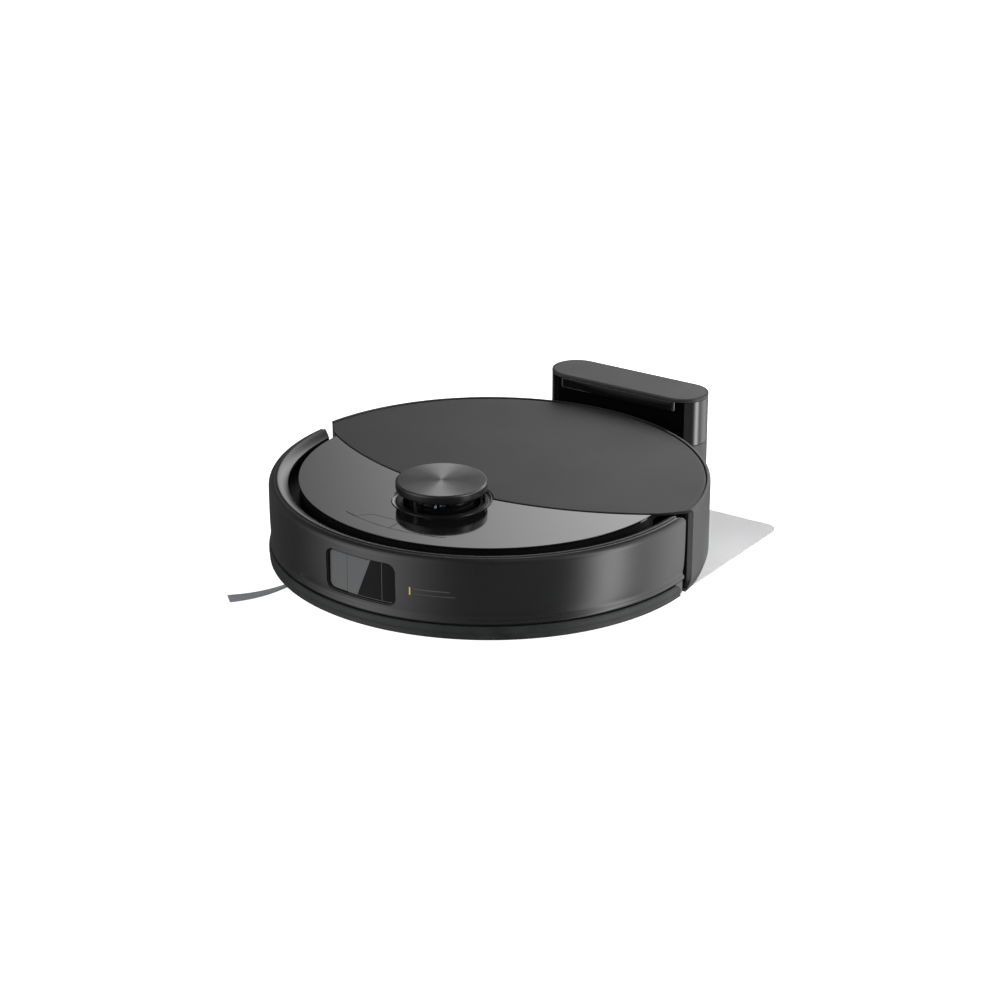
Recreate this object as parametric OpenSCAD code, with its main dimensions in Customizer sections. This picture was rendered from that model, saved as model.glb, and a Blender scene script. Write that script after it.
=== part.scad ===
// Round robot vacuum standing on its charging dock.
// The robot's front faces -Y and +Z is up. Everything is drawn about the robot's own
// vertical axis, then moved so that the origin is under the middle of the whole set.

/* [Robot body] */
// Outer radius over the rubber skirt
skirt_r = 178; // [177:0.5:180]
// Height of the rear cover's flat top
lid_top = 80.5; // [80.3:0.1:81]
// Height of the glossy front deck's top
deck_top = 79.8; // [79.6:0.1:79.9]
// Radius of the glossy front deck
deck_r = 152.8; // [152:0.1:154]
// Height of the underside above the floor
belly_z = 12; // [11.8:0.1:12.2]
// Radius of the arc where the rear cover meets the deck
seam_r = 279; // [270:1:290]
// How far that arc reaches in front of the robot's axis
seam_front = 46; // [45:0.5:47]

/* [Bumper] */
// Inner radius of the rolled lip
lip_r = 160; // [159:0.5:161]
// Height of the bumper's top
bumper_top = 80.2; // [79.6:0.1:80.4]
// Height of the rolled lip, at the low inner edge of the top
lip_z = 76; // [75.5:0.5:76.5]
// Travel when the robot runs into something
bumper_travel = 3; // [1:0.5:3]
// How far the bumper's ends reach behind the robot's axis
bumper_end_y = 10.5; // [9.5:0.5:11.5]
// Width of the sensor window's opening
window_w = 65; // [60:1:66]
// Height of the sensor window's opening
window_h = 35; // [32:0.5:35]
// Height of the sensor window's middle
window_z = 52.7; // [52.5:0.1:52.8]

/* [Lidar turret] */
// Distance of the turret in front of the robot's axis
lidar_front = 66.3; // [65:0.1:67]
// Radius of the cap
cap_r = 36.2; // [35.5:0.1:36.4]
// Height of the cap's top
cap_top = 96.5; // [96:0.1:98]
// Travel when the cap is pressed
cap_travel = 1; // [0.5:0.1:1]

/* [Running gear] */
// Radius of the drive wheels over the tyre
wheel_r = 35; // [34:0.5:35]
// Distance between the middles of the two drive wheels
wheel_track = 226; // [224:1:228]
// Radius of the caster wheel
caster_r = 12; // [11:0.5:12]
// Radius of the main brush over its rubber fins
brush_r = 20; // [18:0.5:20.5]
// Length of a side brush bristle bundle from the hub's axis
bristle_len = 67; // [60:1:68]
// Width of a bristle bundle at its tip
bristle_tip_w = 15.5; // [10:0.5:16]

/* [Dock] */
// Overall width of the dock's pillar
dock_w = 150; // [146:1:152]
// Depth of the dock's pillar
dock_d = 44; // [43:1:45]
// Height of the dock
dock_h = 96.3; // [95:0.1:98]
// Distance of the pillar's middle behind the robot's axis
dock_back = 215; // [215:0.5:217]
// Width of the floor mat
mat_w = 317; // [310:1:320]
// Thickness of the floor mat
mat_t = 1.2; // [0.8:0.1:1.4]

/* [Hidden] */
$fn = 96;
eps = 0.01;
gap = 0.4;
floor_t = 3;
pan_top = belly_z + floor_t;
shell_r = skirt_r - 0.7;
bumper_r = skirt_r - 1.2;
bumper_in_r = bumper_r - 2.7;
shell_in_r = shell_r - 3;
lid_r = shell_in_r - gap;
lid_bottom = lid_top - 2.3;
shell_top = lid_top + 0.6;
shell_front_y = 20;
seam_y = seam_r - seam_front;
flank_r = 220;
flank_y = 156.5;
front_wall_r = 169.7;
frame_top = deck_top - 2;
frame_bottom = frame_top - 3.6;
channel_z = 60;
window_room_x = 34;
corner_r = 5;
bumper_z0 = 15.6;
skirt_z0 = 15;
skirt_top = 26;
skirt_end_y = 4;

lidar_y = -lidar_front;
ring_r = 39.6;
cap_bottom = cap_top - 7.6;
rotor_r = 28.5;
post_ring_r = 33.6;
post_r = 1.3;
posts = 3;
post_deg = 268;
lidar_motor_x = 46;
rotor_pulley_r = 14;
motor_pulley_r = 4.5;

hinge_y = 165;
hinge_z = lid_top - 1.9;
pin_r = 0.6;
hinge_relief_x = 68;
hinge_x = 30;

caster_y = -128;
caster_trail = 4;
caster_well_r = 23;
hub_x = -85.2;
hub_y = -125.9;
bristle_deg = 227.8;

brush_y = -32;
brush_z = brush_r + 1.5;
brush_half = 73;
bay_half_x = 84;
bay_half_y = 24;
bay_top = 44;
bay_wall = 2;
inlet_half_x = 44;
inlet_z0 = 24;
inlet_z1 = 39;
shaft_r = 4;
run_fit = 0.05;

wheel_w = 18;
wheel_x = wheel_track / 2;
wheel_y = -2;
pivot_y = 44;
pivot_z = 44;
arm_x0 = 88.5;
arm_t = 12;

bin_half_x = 82;
bin_y0 = -4;
bin_y1 = 108;
bin_z0 = pan_top + 0.3;
bin_z1 = 75;
bin_wall = 2;

fan_y = 138;
board_z = 51.5;
contact_x = 25;
contact_y = 150;

dock_end_r = dock_d / 2;
dock_front = dock_back - dock_end_r;
dock_base_front = 104;
dock_base_top = 8;
dock_split_z = 54;
dock_cap_z = dock_h - 3;
dock_lip_z = 83.5;
recess_half = 62;
recess_depth = 4;
mat_y0 = 45;
mat_y1 = 201;

brush_tip_y = hub_y + bristle_len * sin(bristle_deg) + bristle_tip_w / 2 * cos(bristle_deg);
mid_y = (dock_back + dock_end_r + brush_tip_y) / 2;

// ---------- shared shapes ----------

module placed() {
    translate([0, -mid_y, 0]) children();
}

module ring(ro, ri, h) {
    difference() {
        cylinder(r = ro, h = h);
        translate([0, 0, -1]) cylinder(r = ri, h = h + 2);
    }
}

// Everything in front of, or behind, the plane y
module before(y) {
    translate([-400, y - 800, -10]) cube([800, 800, 200]);
}

module behind(y) {
    translate([-400, y, -10]) cube([800, 800, 200]);
}

module box(x0, x1, y0, y1, z0, z1) {
    translate([x0, y0, z0]) cube([x1 - x0, y1 - y0, z1 - z0]);
}

module rounded_rect(w, h, r) {
    square([w - 2 * r, h], center = true);
    square([w, h - 2 * r], center = true);
    for (x = [-1, 1], y = [-1, 1])
        translate([x * (w / 2 - r), y * (h / 2 - r)]) circle(r = r);
}

// Solid from z0 to z1 whose plan is a rectangle with round corners
module pad(x, y, z0, z1, w, d, r) {
    translate([x, y, z0]) linear_extrude(z1 - z0) rounded_rect(w, d, r);
}

// Rod or disc along X between x0 and x1
module x_rod(r, x0, x1, y, z) {
    translate([x0, y, z]) rotate([0, 90, 0]) cylinder(r = r, h = x1 - x0);
}

module z_rod(r, x, y, z0, z1) {
    translate([x, y, z0]) cylinder(r = r, h = z1 - z0);
}

// Side view (y, z) given width along X, from x0 to x1
module side_slab(x0, x1) {
    translate([x0, 0, 0])
        rotate([90, 0, 90]) linear_extrude(x1 - x0) children();
}

// Prism through the bumper's front wall with round corners
module window_prism(w, h, r) {
    translate([0, -140, window_z])
        rotate([90, 0, 0]) linear_extrude(60) rounded_rect(w, h, r);
}

module stadium(r, h) {
    linear_extrude(h) {
        square([dock_w - dock_d, 2 * r], center = true);
        for (x = [-1, 1]) translate([x * (dock_w - dock_d) / 2, 0]) circle(r = r);
    }
}

// Coil spring along +Z, swept as one polyhedron
function coil_points(r, wire, pitch, turns, n, m) = [
    for (i = [0:n], j = [0:m - 1])
        let (
            a = 360 * turns * i / n,
            b = 360 * j / m,
            d = r + wire * cos(b)
        )
        [d * cos(a), d * sin(a), pitch * turns * i / n + wire * sin(b)]
];
function coil_faces(n, m) = concat(
    [[for (j = [0:m - 1]) j]],
    [for (i = [0:n - 1], j = [0:m - 1])
        [i * m + j, (i + 1) * m + j, (i + 1) * m + (j + 1) % m, i * m + (j + 1) % m]],
    [[for (j = [m - 1:-1:0]) n * m + j]]
);

module coil(r, wire, pitch, turns) {
    rings = turns * 12;
    sides = 6;
    polyhedron(coil_points(r, wire, pitch, turns, rings, sides), coil_faces(rings, sides));
}

// ---------- robot: fixed parts ----------

module wheel_well(side) {
    scale([side, 1, 1]) box(86.5, 125, -42, 58, belly_z - 1, pan_top + 1);
}

module pivot_lugs(side) {
    for (x = [86, arm_x0 + arm_t + 0.5])
        mirror([side < 0 ? 1 : 0, 0, 0]) {
            box(x, x + 2, pivot_y + 3, pivot_y + 24, pan_top, pivot_z + 8);
            x_rod(8, x, x + 2, pivot_y, pivot_z);
            box(x, x + 2, pivot_y, pivot_y + 4, pivot_z - 8, pivot_z + 8);
        }
    mirror([side < 0 ? 1 : 0, 0, 0]) {
        x_rod(3, 86, arm_x0 + arm_t + 2.5, pivot_y, pivot_z);
        box(86, arm_x0 + arm_t + 2.5, 58, pivot_y + 24, pan_top, pan_top + 3);
    }
}

module chassis_base() color("#232425") placed()
    difference() {
        union() {
            intersection() {
                z_rod(front_wall_r, 0, 0, belly_z, pan_top);
                before(shell_front_y - 1);
            }
            intersection() {
                z_rod(shell_in_r - 0.1, 0, 0, belly_z, pan_top);
                behind(shell_front_y - 1);
            }
        }
        for (s = [-1, 1]) wheel_well(s);
        box(-bay_half_x - bay_wall, bay_half_x + bay_wall, brush_y - bay_half_y - bay_wall,
            brush_y + bay_half_y + bay_wall, 0, 20);
        z_rod(caster_well_r, 0, caster_y, 0, 40);
        z_rod(4.5, hub_x, hub_y, 0, 40);
        pad(62, -97, 0, 20, 68.6, 42.6, 4.3);
    }

// Wall behind the bumper, with the channel's floor and inner wall on top of it
module front_wall() color("#1b1c1d") placed()
    difference() {
        union() {
            intersection() {
                translate([0, 0, pan_top])
                    ring(front_wall_r, front_wall_r - 3, channel_z - pan_top + eps);
                before(shell_front_y - 0.3);
            }
            intersection() {
                translate([0, 0, channel_z]) ring(front_wall_r, deck_r - 3.4, 2.4);
                before(shell_front_y - 0.3);
            }
            intersection() {
                translate([0, 0, channel_z])
                    ring(deck_r - 0.8, deck_r - 3.4, frame_bottom - channel_z);
                before(2);
            }
        }
        // room behind the sensor window, and for the spring plungers
        box(-window_room_x, window_room_x, -180, -150, 34, channel_z);
        box(-window_room_x, window_room_x, -180, -162.3, 34, channel_z + 4);
        for (s = [-1, 1]) box(s * 104 - 5, s * 104 + 5, -150, -120, 35, 45);
    }

// Posts, wheel brackets and spring stops that stand on the base
module chassis_mounts() color("#27282a") placed() {
    for (s = [-1, 1]) {
        pivot_lugs(s);
        box(s * 104 - 5, s * 104 + 5, -118, -115, pan_top, 46);
    }
    for (p = [[60, 141], [-60, 141], [140, 62], [-140, 62]])
        z_rod(4, p[0], p[1], pan_top, frame_bottom);
    for (p = [[-62, -96], [-42, -70], [12, -70]]) z_rod(3, p[0], p[1], pan_top, board_z);
}

module caster_tower() color("#27282a") placed()
    difference() {
        union() {
            z_rod(caster_well_r + 2, 0, caster_y, pan_top, 31);
            z_rod(8, 0, caster_y, 30, 46);
        }
        z_rod(caster_well_r, 0, caster_y, 0, 28);
        z_rod(shaft_r + run_fit, 0, caster_y, 20, 50);
    }

module brush_bay() color("#2b2d2f") placed()
    difference() {
        box(-bay_half_x - bay_wall, bay_half_x + bay_wall, brush_y - bay_half_y - bay_wall,
            brush_y + bay_half_y + bay_wall, belly_z, bay_top + bay_wall);
        box(-bay_half_x, bay_half_x, brush_y - bay_half_y, brush_y + bay_half_y, 0, bay_top);
        box(-inlet_half_x, inlet_half_x, -20, 0, inlet_z0, inlet_z1);
        x_rod(shaft_r + run_fit, -100, -80, brush_y, brush_z);
    }

module rear_shell() color("#333436") placed() {
    difference() {
        rotate_extrude() polygon([
            [shell_in_r, belly_z + 1], [shell_r - 1.4, belly_z + 1], [shell_r, belly_z + 3.4],
            [shell_r, shell_top - 2], [shell_r - 0.3, shell_top - 1], [shell_r - 1, shell_top - 0.3],
            [shell_r - 1.9, shell_top], [shell_in_r + 0.4, shell_top], [shell_in_r, shell_top - 0.4]
        ]);
        before(shell_front_y);
        // room for the lid's rear edge to swing down beside the hinge
        intersection() {
            cylinder(r = shell_in_r + 1.3, h = 100);
            box(-hinge_relief_x, hinge_relief_x, 100, 200, lid_bottom - 9, 100);
        }
    }
    // bulkheads that close the channel behind the bumper's ends
    for (s = [0, 1])
        mirror([s, 0, 0])
            box(deck_r + 1, shell_in_r + 1, shell_front_y, shell_front_y + 1.9, pan_top, frame_top);
}

module leaf(grow, h) {
    intersection() {
        cylinder(r = 136.6 + grow, h = h);
        translate([0, -141.4 - 2, 0]) linear_extrude(h)
            rounded_rect(69.6 + 2 * grow, 44 + 2 * grow, 14);
    }
}

module deck_frame() color("#1b1c1d") placed() {
    difference() {
        union() {
            intersection() {
                z_rod(deck_r - 0.8, 0, 0, frame_bottom, frame_top);
                before(shell_front_y + 5);
            }
            intersection() {
                z_rod(shell_in_r - 0.2, 0, 0, frame_bottom, frame_top);
                behind(shell_front_y + 2);
            }
        }
        z_rod(cap_r + 0.3, 0, lidar_y, 0, 100);
        box(-bin_half_x - 1, bin_half_x + 1, bin_y0 - 1, bin_y1 + 5, 0, 100);
        box(-54, 54, 155, 200, 0, 100);
        for (s = [-1, 1]) z_rod(3.3, s * 16, -129, 0, 100);
    }
    // lugs for the lid's hinge pins, standing in the hinge recess
    for (s = [-1, 1]) {
        difference() {
            union() {
                x_rod(1.15, s * hinge_x - 2, s * hinge_x + 2, hinge_y, hinge_z);
                box(s * hinge_x - 2, s * hinge_x + 2, 154, hinge_y, frame_bottom, hinge_z);
            }
            x_rod(pin_r + run_fit, -60, 60, hinge_y, hinge_z);
        }
    }
}

module deck_panel() color("#5c5f62") placed()
    difference() {
        z_rod(deck_r, 0, 0, frame_top, deck_top);
        translate([0, seam_y, 0]) cylinder(r = seam_r + 0.5, h = 100);
        z_rod(ring_r + 0.1, 0, lidar_y, 0, 100);
        leaf(0.35, 100);
    }

module lidar_base() color("#141516") placed()
    difference() {
        z_rod(cap_r, 0, lidar_y, channel_z, deck_top - 0.2);
        z_rod(rotor_r + 1.5, 0, lidar_y, channel_z + 3, 100);
        z_rod(shaft_r + run_fit, 0, lidar_y, 0, 100);
        for (i = [0:posts - 1])
            translate([0, lidar_y, channel_z + 3])
                rotate([0, 0, 360 / posts * i + post_deg]) translate([post_ring_r, 0, 0])
                    cylinder(r = post_r + 0.25, h = 40);
    }

module lidar_ring() color("#0c0c0d") placed()
    translate([0, lidar_y, frame_top])
        rotate_extrude() polygon([
            [cap_r + 0.05, 0], [ring_r, 0], [ring_r, 2.2], [ring_r - 0.4, 2.6],
            [cap_r + 0.6, 2.6], [cap_r + 0.05, 2]
        ]);

module lidar_motor() color("#8a8d90") placed() {
    z_rod(8.5, lidar_motor_x, lidar_y, channel_z + 1, frame_bottom);
}

module belt_loop(extra) {
    z_rod(rotor_pulley_r + extra, 0, lidar_y, 56.4, 58.6);
    z_rod(motor_pulley_r + extra, lidar_motor_x, lidar_y, 56.4, 58.6);
    lean = asin((rotor_pulley_r - motor_pulley_r) / lidar_motor_x);
    translate([0, lidar_y, 56.4]) linear_extrude(2.2) polygon([
        [(rotor_pulley_r + extra) * sin(lean), (rotor_pulley_r + extra) * cos(lean)],
        [lidar_motor_x + (motor_pulley_r + extra) * sin(lean), (motor_pulley_r + extra) * cos(lean)],
        [lidar_motor_x + (motor_pulley_r + extra) * sin(lean), -(motor_pulley_r + extra) * cos(lean)],
        [(rotor_pulley_r + extra) * sin(lean), -(rotor_pulley_r + extra) * cos(lean)]
    ]);
}

module lidar_belt() color("#101010") placed()
    difference() {
        belt_loop(1.3);
        translate([0, 0, -0.5]) belt_loop(0.3);
        translate([0, 0, 0.5]) belt_loop(0.3);
    }

module main_board() color("#1e5a3a") placed() {
    pad(-4, -92, board_z, board_z + 1.6, 168, 56, 4);
    pad(-40, -95, board_z + 1.6, board_z + 3.6, 16, 16, 1);
    pad(24, -110, board_z + 1.6, board_z + 3.2, 12, 12, 1);
    pad(60, -100, board_z + 1.6, board_z + 3.2, 10, 14, 1);
    pad(-66, -76, board_z + 1.6, board_z + 7, 14, 7, 1);
}

module battery() color("#2f3a46") placed()
    pad(62, -97, pan_top + 0.3, 50, 72, 46, 5);

module battery_cover() color("#26282a") placed() {
    difference() {
        pad(62, -97, belly_z, pan_top, 68, 42, 4);
        for (s = [-1, 1]) z_rod(2, 62 + s * 29, -97, 0, 40);
    }
}

module fan_housing() color("#3a3d40") placed()
    difference() {
        union() {
            z_rod(22, 0, fan_y, pan_top, 62);
            box(-12, 12, 114, fan_y - 12, 30, 54);
        }
        z_rod(19.5, 0, fan_y, 20, 48);
        z_rod(2 + run_fit, 0, fan_y, 40, 58);
        box(-10, 10, 113, fan_y, 32, 48);
    }

module fan_impeller() color("#b9bcc0") placed() {
    z_rod(17, 0, fan_y, 24, 26);
    z_rod(5, 0, fan_y, 25, 40);
    z_rod(2, 0, fan_y, 39, 56);
    for (i = [0:8])
        translate([0, fan_y, 25]) rotate([0, 0, 40 * i])
            translate([3, -0.6, 0]) cube([13, 1.2, 12]);
}

module brush_gearbox() color("#2d2f31") placed()
    difference() {
        box(76, bay_half_x - 0.2, brush_y - 22, brush_y + 18, 18, 43);
        x_rod(shaft_r + run_fit, 70, 82, brush_y, brush_z);
    }

module brush_cover() color("#2a2c2e") placed()
    difference() {
        pad(0, brush_y, belly_z - 1.8, belly_z, 171, 62, 6);
        pad(-2, brush_y, 0, 20, 156, 43.5, 5);
    }

module side_brush_motor() color("#4b4e52") placed()
    difference() {
        z_rod(12, hub_x, hub_y, pan_top, 46);
        z_rod(2.5 + run_fit, hub_x, hub_y, 0, 34);
    }

module charge_pads() color("#c8ccd0") placed()
    for (s = [-1, 1]) pad(s * contact_x, contact_y, belly_z - 0.4, belly_z, 9, 15, 2);

module cliff_sensors() color("#0e0e10") placed()
    for (p = [[42, -152], [-42, -152], [138, -76], [-138, -76], [0, 162]])
        pad(p[0], p[1], belly_z - 0.8, belly_z, 14, 7, 2.5);

// Hinge pins of the lid, and the screws of the base and the battery cover
module fasteners() color("#a7abb0") placed() {
    for (s = [-1, 1])
        x_rod(pin_r, s * hinge_x - 6, s * hinge_x + 6, hinge_y, hinge_z);
    for (p = [[120, 92], [-120, 92], [62, 140], [-62, 140], [146, -30], [-146, -30]])
        difference() {
            z_rod(3.4, p[0], p[1], belly_z - 1, belly_z);
            translate([p[0], p[1], belly_z - 1.5]) cube([3.4, 0.8, 2.4], center = true);
            translate([p[0], p[1], belly_z - 1.5]) cube([0.8, 3.4, 2.4], center = true);
        }
    for (s = [-1, 1])
        z_rod(1.9, 62 + s * 29, -97, belly_z + 0.4, belly_z + 2.9);
}

module bumper_springs() color("#d0d3d6") placed()
    for (s = [-1, 1])
        translate([s * 104, -118.6, 40]) rotate([90, 0, 0]) coil(3.4, 0.5, 1.4, 5);

// ---------- bumper ----------

// The wall's outline: up the outside, over the shoulder, down the sloping top to the lip, and back inside
function shoulder_arc(r) = [
    for (i = [0:5])
        let (t = 18 * i)
        [bumper_r - corner_r + r * cos(t), bumper_top - corner_r + r * sin(t)]
];
function bumper_outline() = concat(
    [[bumper_in_r, bumper_z0], [bumper_r - 1, bumper_z0]],
    [[bumper_r - 1, skirt_top], [bumper_r, skirt_top + 1]],
    shoulder_arc(corner_r),
    [[170.4, bumper_top], [170, bumper_top - 0.4], [169.6, bumper_top - 0.1]],
    [[166, bumper_top - 1], [163, lip_z + 1.9], [161, lip_z + 0.6], [lip_r, lip_z - 0.4]],
    [[lip_r, lip_z - 2.4], [163, lip_z - 1], [166, bumper_top - 3.5], [169.6, bumper_top - 2.8]],
    [for (i = [5:-1:0]) shoulder_arc(corner_r - 2.7)[i]]
);

// What the bumper's ends leave out: they slope forward from the wall to the lip
module bumper_end_cut() {
    for (s = [0, 1])
        mirror([s, 0, 0])
            translate([0, 0, -1]) linear_extrude(120) polygon([
                [130, -20], [158, -2.3], [bumper_r, bumper_end_y], [200, bumper_end_y],
                [200, 200], [0, 200], [0, 150], [130, 60]
            ]);
    behind(60);
}

module bumper_shell() color("#3a3c3f") placed() {
    difference() {
        rotate_extrude() polygon(bumper_outline());
        bumper_end_cut();
        window_prism(window_w, window_h, 7);
    }
    // plungers that press the return springs
    for (s = [-1, 1])
        intersection() {
            box(s * 104 - 3.5, s * 104 + 3.5, -146, -130, 37, 43);
            z_rod(bumper_in_r + 0.2, 0, 0, 30, 50);
        }
}

module bumper_skirt() color("#1f2221") placed()
    difference() {
        rotate_extrude() polygon([
            [bumper_r - 1, skirt_z0], [skirt_r - 0.7, skirt_z0], [skirt_r, skirt_z0 + 0.8],
            [skirt_r, skirt_top - 1.8], [skirt_r - 0.8, skirt_top - 0.5], [bumper_r - 1, skirt_top]
        ]);
        behind(skirt_end_y);
    }

module window_frame() color("#0a0a0b") placed()
    intersection() {
        difference() {
            window_prism(window_w, window_h, 7);
            window_prism(window_w - 3, window_h - 3, 5.5);
        }
        ring(bumper_r - 0.4, 170.5, 100);
    }

module window_glass() color("#1a1d20") placed()
    intersection() {
        window_prism(window_w - 3, window_h - 3, 5.5);
        ring(bumper_r - 2.9, bumper_r - 4.5, 100);
    }

module obstacle_camera() color("#191a1c") placed() {
    box(-29, 29, -167.6, -160, window_z - 12, window_z + 6.5);
    for (x = [-17, 15])
        translate([x, -167.6, window_z]) rotate([90, 0, 0]) cylinder(r = 5, h = 1);
}

module accent_marks() color("#b8963e") placed() {
    marks = [[14.4, 0.7, 50.9, 6.4], [20, 9.4, 52.8, 0.7], [20.2, 9, 48.9, 0.7]];
    for (m = marks)
        intersection() {
            ring(bumper_r + 0.12, bumper_r, 100);
            rotate([0, 0, m[0]])
                box(-m[1] * 1.53, m[1] * 1.53, -200, -160, m[2] - m[3] / 2, m[2] + m[3] / 2);
        }
}

// ---------- lid and dustbin ----------

module lid() color("#3b3c3d") placed() {
    difference() {
        intersection() {
            rotate_extrude() polygon([
                [0, lid_bottom], [lid_r - 0.6, lid_bottom], [lid_r, lid_bottom + 0.8],
                [lid_r, lid_top - 1.1], [lid_r - 0.4, lid_top - 0.4], [lid_r - 1.4, lid_top - 0.1],
                [lid_r - 3, lid_top], [0, lid_top]
            ]);
            translate([0, seam_y, 0]) cylinder(r = seam_r, h = 100);
            translate([0, flank_y, 0]) cylinder(r = flank_r, h = 100);
        }
        z_rod(ring_r + 0.8, 0, lidar_y, 0, 100);
        for (s = [-1, 1])
            box(s * hinge_x - 6.6, s * hinge_x + 6.6, 150, hinge_y + 3.4, 0, hinge_z + 1.3);
        difference() {
            box(-hinge_relief_x, hinge_relief_x, 100, 200, 0, 100);
            cylinder(r = lid_r - 0.5, h = 100);
        }
    }
    for (s = [-1, 1], e = [-1, 1])
        difference() {
            union() {
                x_rod(1.6, s * hinge_x + e * 4.6 - 2, s * hinge_x + e * 4.6 + 2, hinge_y, hinge_z);
                box(s * hinge_x + e * 4.6 - 2, s * hinge_x + e * 4.6 + 2,
                    149.9, hinge_y, hinge_z, hinge_z + 1.4);
            }
            x_rod(pin_r + run_fit, -60, 60, hinge_y, hinge_z);
        }
}

module dustbin() color("#9aa0a6", 0.6) placed()
    difference() {
        box(-bin_half_x, bin_half_x, bin_y0, bin_y1, bin_z0, bin_z1);
        box(-bin_half_x + bin_wall, bin_half_x - bin_wall, bin_y0 + bin_wall, bin_y1 - bin_wall,
            bin_z0 + bin_wall, bin_z1 - 12);
        box(-inlet_half_x, inlet_half_x, bin_y0 - 1, bin_y0 + 5, inlet_z0, inlet_z1);
        box(-36, 36, bin_y1 - 5, bin_y1 + 1, 28, 57);
        pad(0, 52, bin_z1 - 9, bin_z1 + 1, 70, 40, 8);
    }

module dustbin_handle() color("#2a2c2e") placed() {
    pad(0, 52, bin_z1 - 9, bin_z1 - 7, 68, 38, 7);
    for (s = [-1, 1]) box(s * 24 - 2, s * 24 + 2, 46, 58, bin_z1 - 7, bin_z1 - 1);
    x_rod(3.2, -26, 26, 52, bin_z1 - 3.4);
}

module dustbin_filter() color("#d9dcdd") placed() {
    difference() {
        box(-39, 39, bin_y1, bin_y1 + 4, 26, 59);
        box(-35, 35, bin_y1 - 1, bin_y1 + 5, 30, 55);
    }
    for (i = [0:13]) box(-35 + 5 * i + 0.8, -35 + 5 * i + 4.2, bin_y1 + 0.6, bin_y1 + 3.4, 29, 56);
}

// ---------- buttons ----------

module half_leaf(side) {
    intersection() {
        translate([0, 0, deck_top - 1.4]) leaf(0, 1.4);
        mirror([side < 0 ? 1 : 0, 0, 0]) box(0.2, 60, -200, 0, 0, 100);
    }
    z_rod(3, side * 16, -129, 68, deck_top - 0.7);
}

module power_button() color("#606366") placed() half_leaf(-1);

module dock_button() color("#606366") placed() half_leaf(1);

// ---------- lidar turret ----------

module lidar_cap() color("#6b6e72") placed() {
    translate([0, lidar_y, 0]) {
        rotate_extrude() polygon([
            [0, cap_bottom + 1.6], [cap_r - 4.6, cap_bottom + 1.6], [cap_r - 4.6, cap_bottom],
            [cap_r - 0.2, cap_bottom], [cap_r, cap_bottom + 0.3], [cap_r, cap_top - 2.2],
            [cap_r - 0.5, cap_top - 1.2], [cap_r - 1.6, cap_top], [0, cap_top]
        ]);
        for (i = [0:posts - 1])
            rotate([0, 0, 360 / posts * i + post_deg]) translate([post_ring_r, 0, channel_z + 6])
                cylinder(r = post_r, h = cap_bottom - channel_z - 5.8);
    }
}

module lidar_rotor() color("#17181a") placed() {
    difference() {
        union() {
            z_rod(rotor_r, 0, lidar_y, channel_z + 5, cap_bottom - cap_travel - 0.3);
            z_rod(shaft_r, 0, lidar_y, 55, channel_z + 6);
            z_rod(rotor_pulley_r, 0, lidar_y, 56.4, 58.6);
            z_rod(rotor_pulley_r + 1, 0, lidar_y, 55.2, 56.4);
        }
        for (m = [[34, 7], [-42, 7], [110, 7]])
            translate([0, lidar_y, 83.6]) rotate([0, 0, m[0]]) rotate([90, 0, 0])
                translate([0, 0, rotor_r - 5]) linear_extrude(10)
                    rounded_rect(2 * m[1], 7.4, 3.6);
    }
    // lenses in the three windows
    for (a = [34, -42, 110])
        translate([0, lidar_y, 83.6]) rotate([0, 0, a]) rotate([90, 0, 0])
            translate([0, 0, rotor_r - 5 - eps]) cylinder(r = 2.6, h = 2.4);
}

module lidar_pulley() color("#c0c3c6") placed() {
    z_rod(motor_pulley_r, lidar_motor_x, lidar_y, 56.4, 58.6);
    z_rod(motor_pulley_r + 1, lidar_motor_x, lidar_y, 55.4, 56.4);
    z_rod(1.2, lidar_motor_x, lidar_y, 58.5, channel_z + 0.8);
}

// ---------- brushes ----------

module brush_core() color("#3f4246") placed() {
    x_rod(11, -brush_half, brush_half, brush_y, brush_z);
    x_rod(shaft_r, -85.5, -brush_half + 1, brush_y, brush_z);
    x_rod(shaft_r, brush_half - 1, 81.5, brush_y, brush_z);
}

module fin_half() {
    for (i = [0:5])
        linear_extrude(brush_half - 3, twist = 50, slices = 8, $fn = 4)
            rotate(60 * i) translate([11.2, -0.9]) square([brush_r - 11.2, 1.8]);
}

module brush_fins() color("#7d2f2a") placed()
    translate([0, brush_y, brush_z]) rotate([0, 90, 0]) {
        translate([0, 0, 0.2]) fin_half();
        mirror([0, 0, 1]) translate([0, 0, 0.2]) fin_half();
        ring(12.6, 11, 2);
        translate([0, 0, -2]) ring(12.6, 11, 2);
    }

module side_brush_hub() color("#4a5a6b") placed() {
    z_rod(12.5, hub_x, hub_y, 7.6, belly_z - 0.6);
    z_rod(2.5, hub_x, hub_y, 10, 32);
}

module bristle_bundle() {
    intersection() {
        linear_extrude(14) polygon([
            [12.6, -3], [24, -4.2], [40, -6], [bristle_len, -bristle_tip_w / 2],
            [bristle_len, bristle_tip_w / 2], [40, 6], [24, 4.2], [12.6, 3]
        ]);
        translate([0, 20, 0]) rotate([90, 0, 0]) linear_extrude(40) polygon([
            [12.4, 8], [20, 6.8], [32, 3.6], [46, 1.6], [bristle_len + 1, 1],
            [bristle_len + 1, 2.2], [46, 2.8], [32, 5.2], [20, 9], [12.4, 10.4]
        ]);
    }
}

module side_brush_bristles() color("#8fa3b5") placed()
    for (i = [0:2])
        translate([hub_x, hub_y, 0]) rotate([0, 0, bristle_deg + 120 * i]) bristle_bundle();

// ---------- wheels ----------

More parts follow.
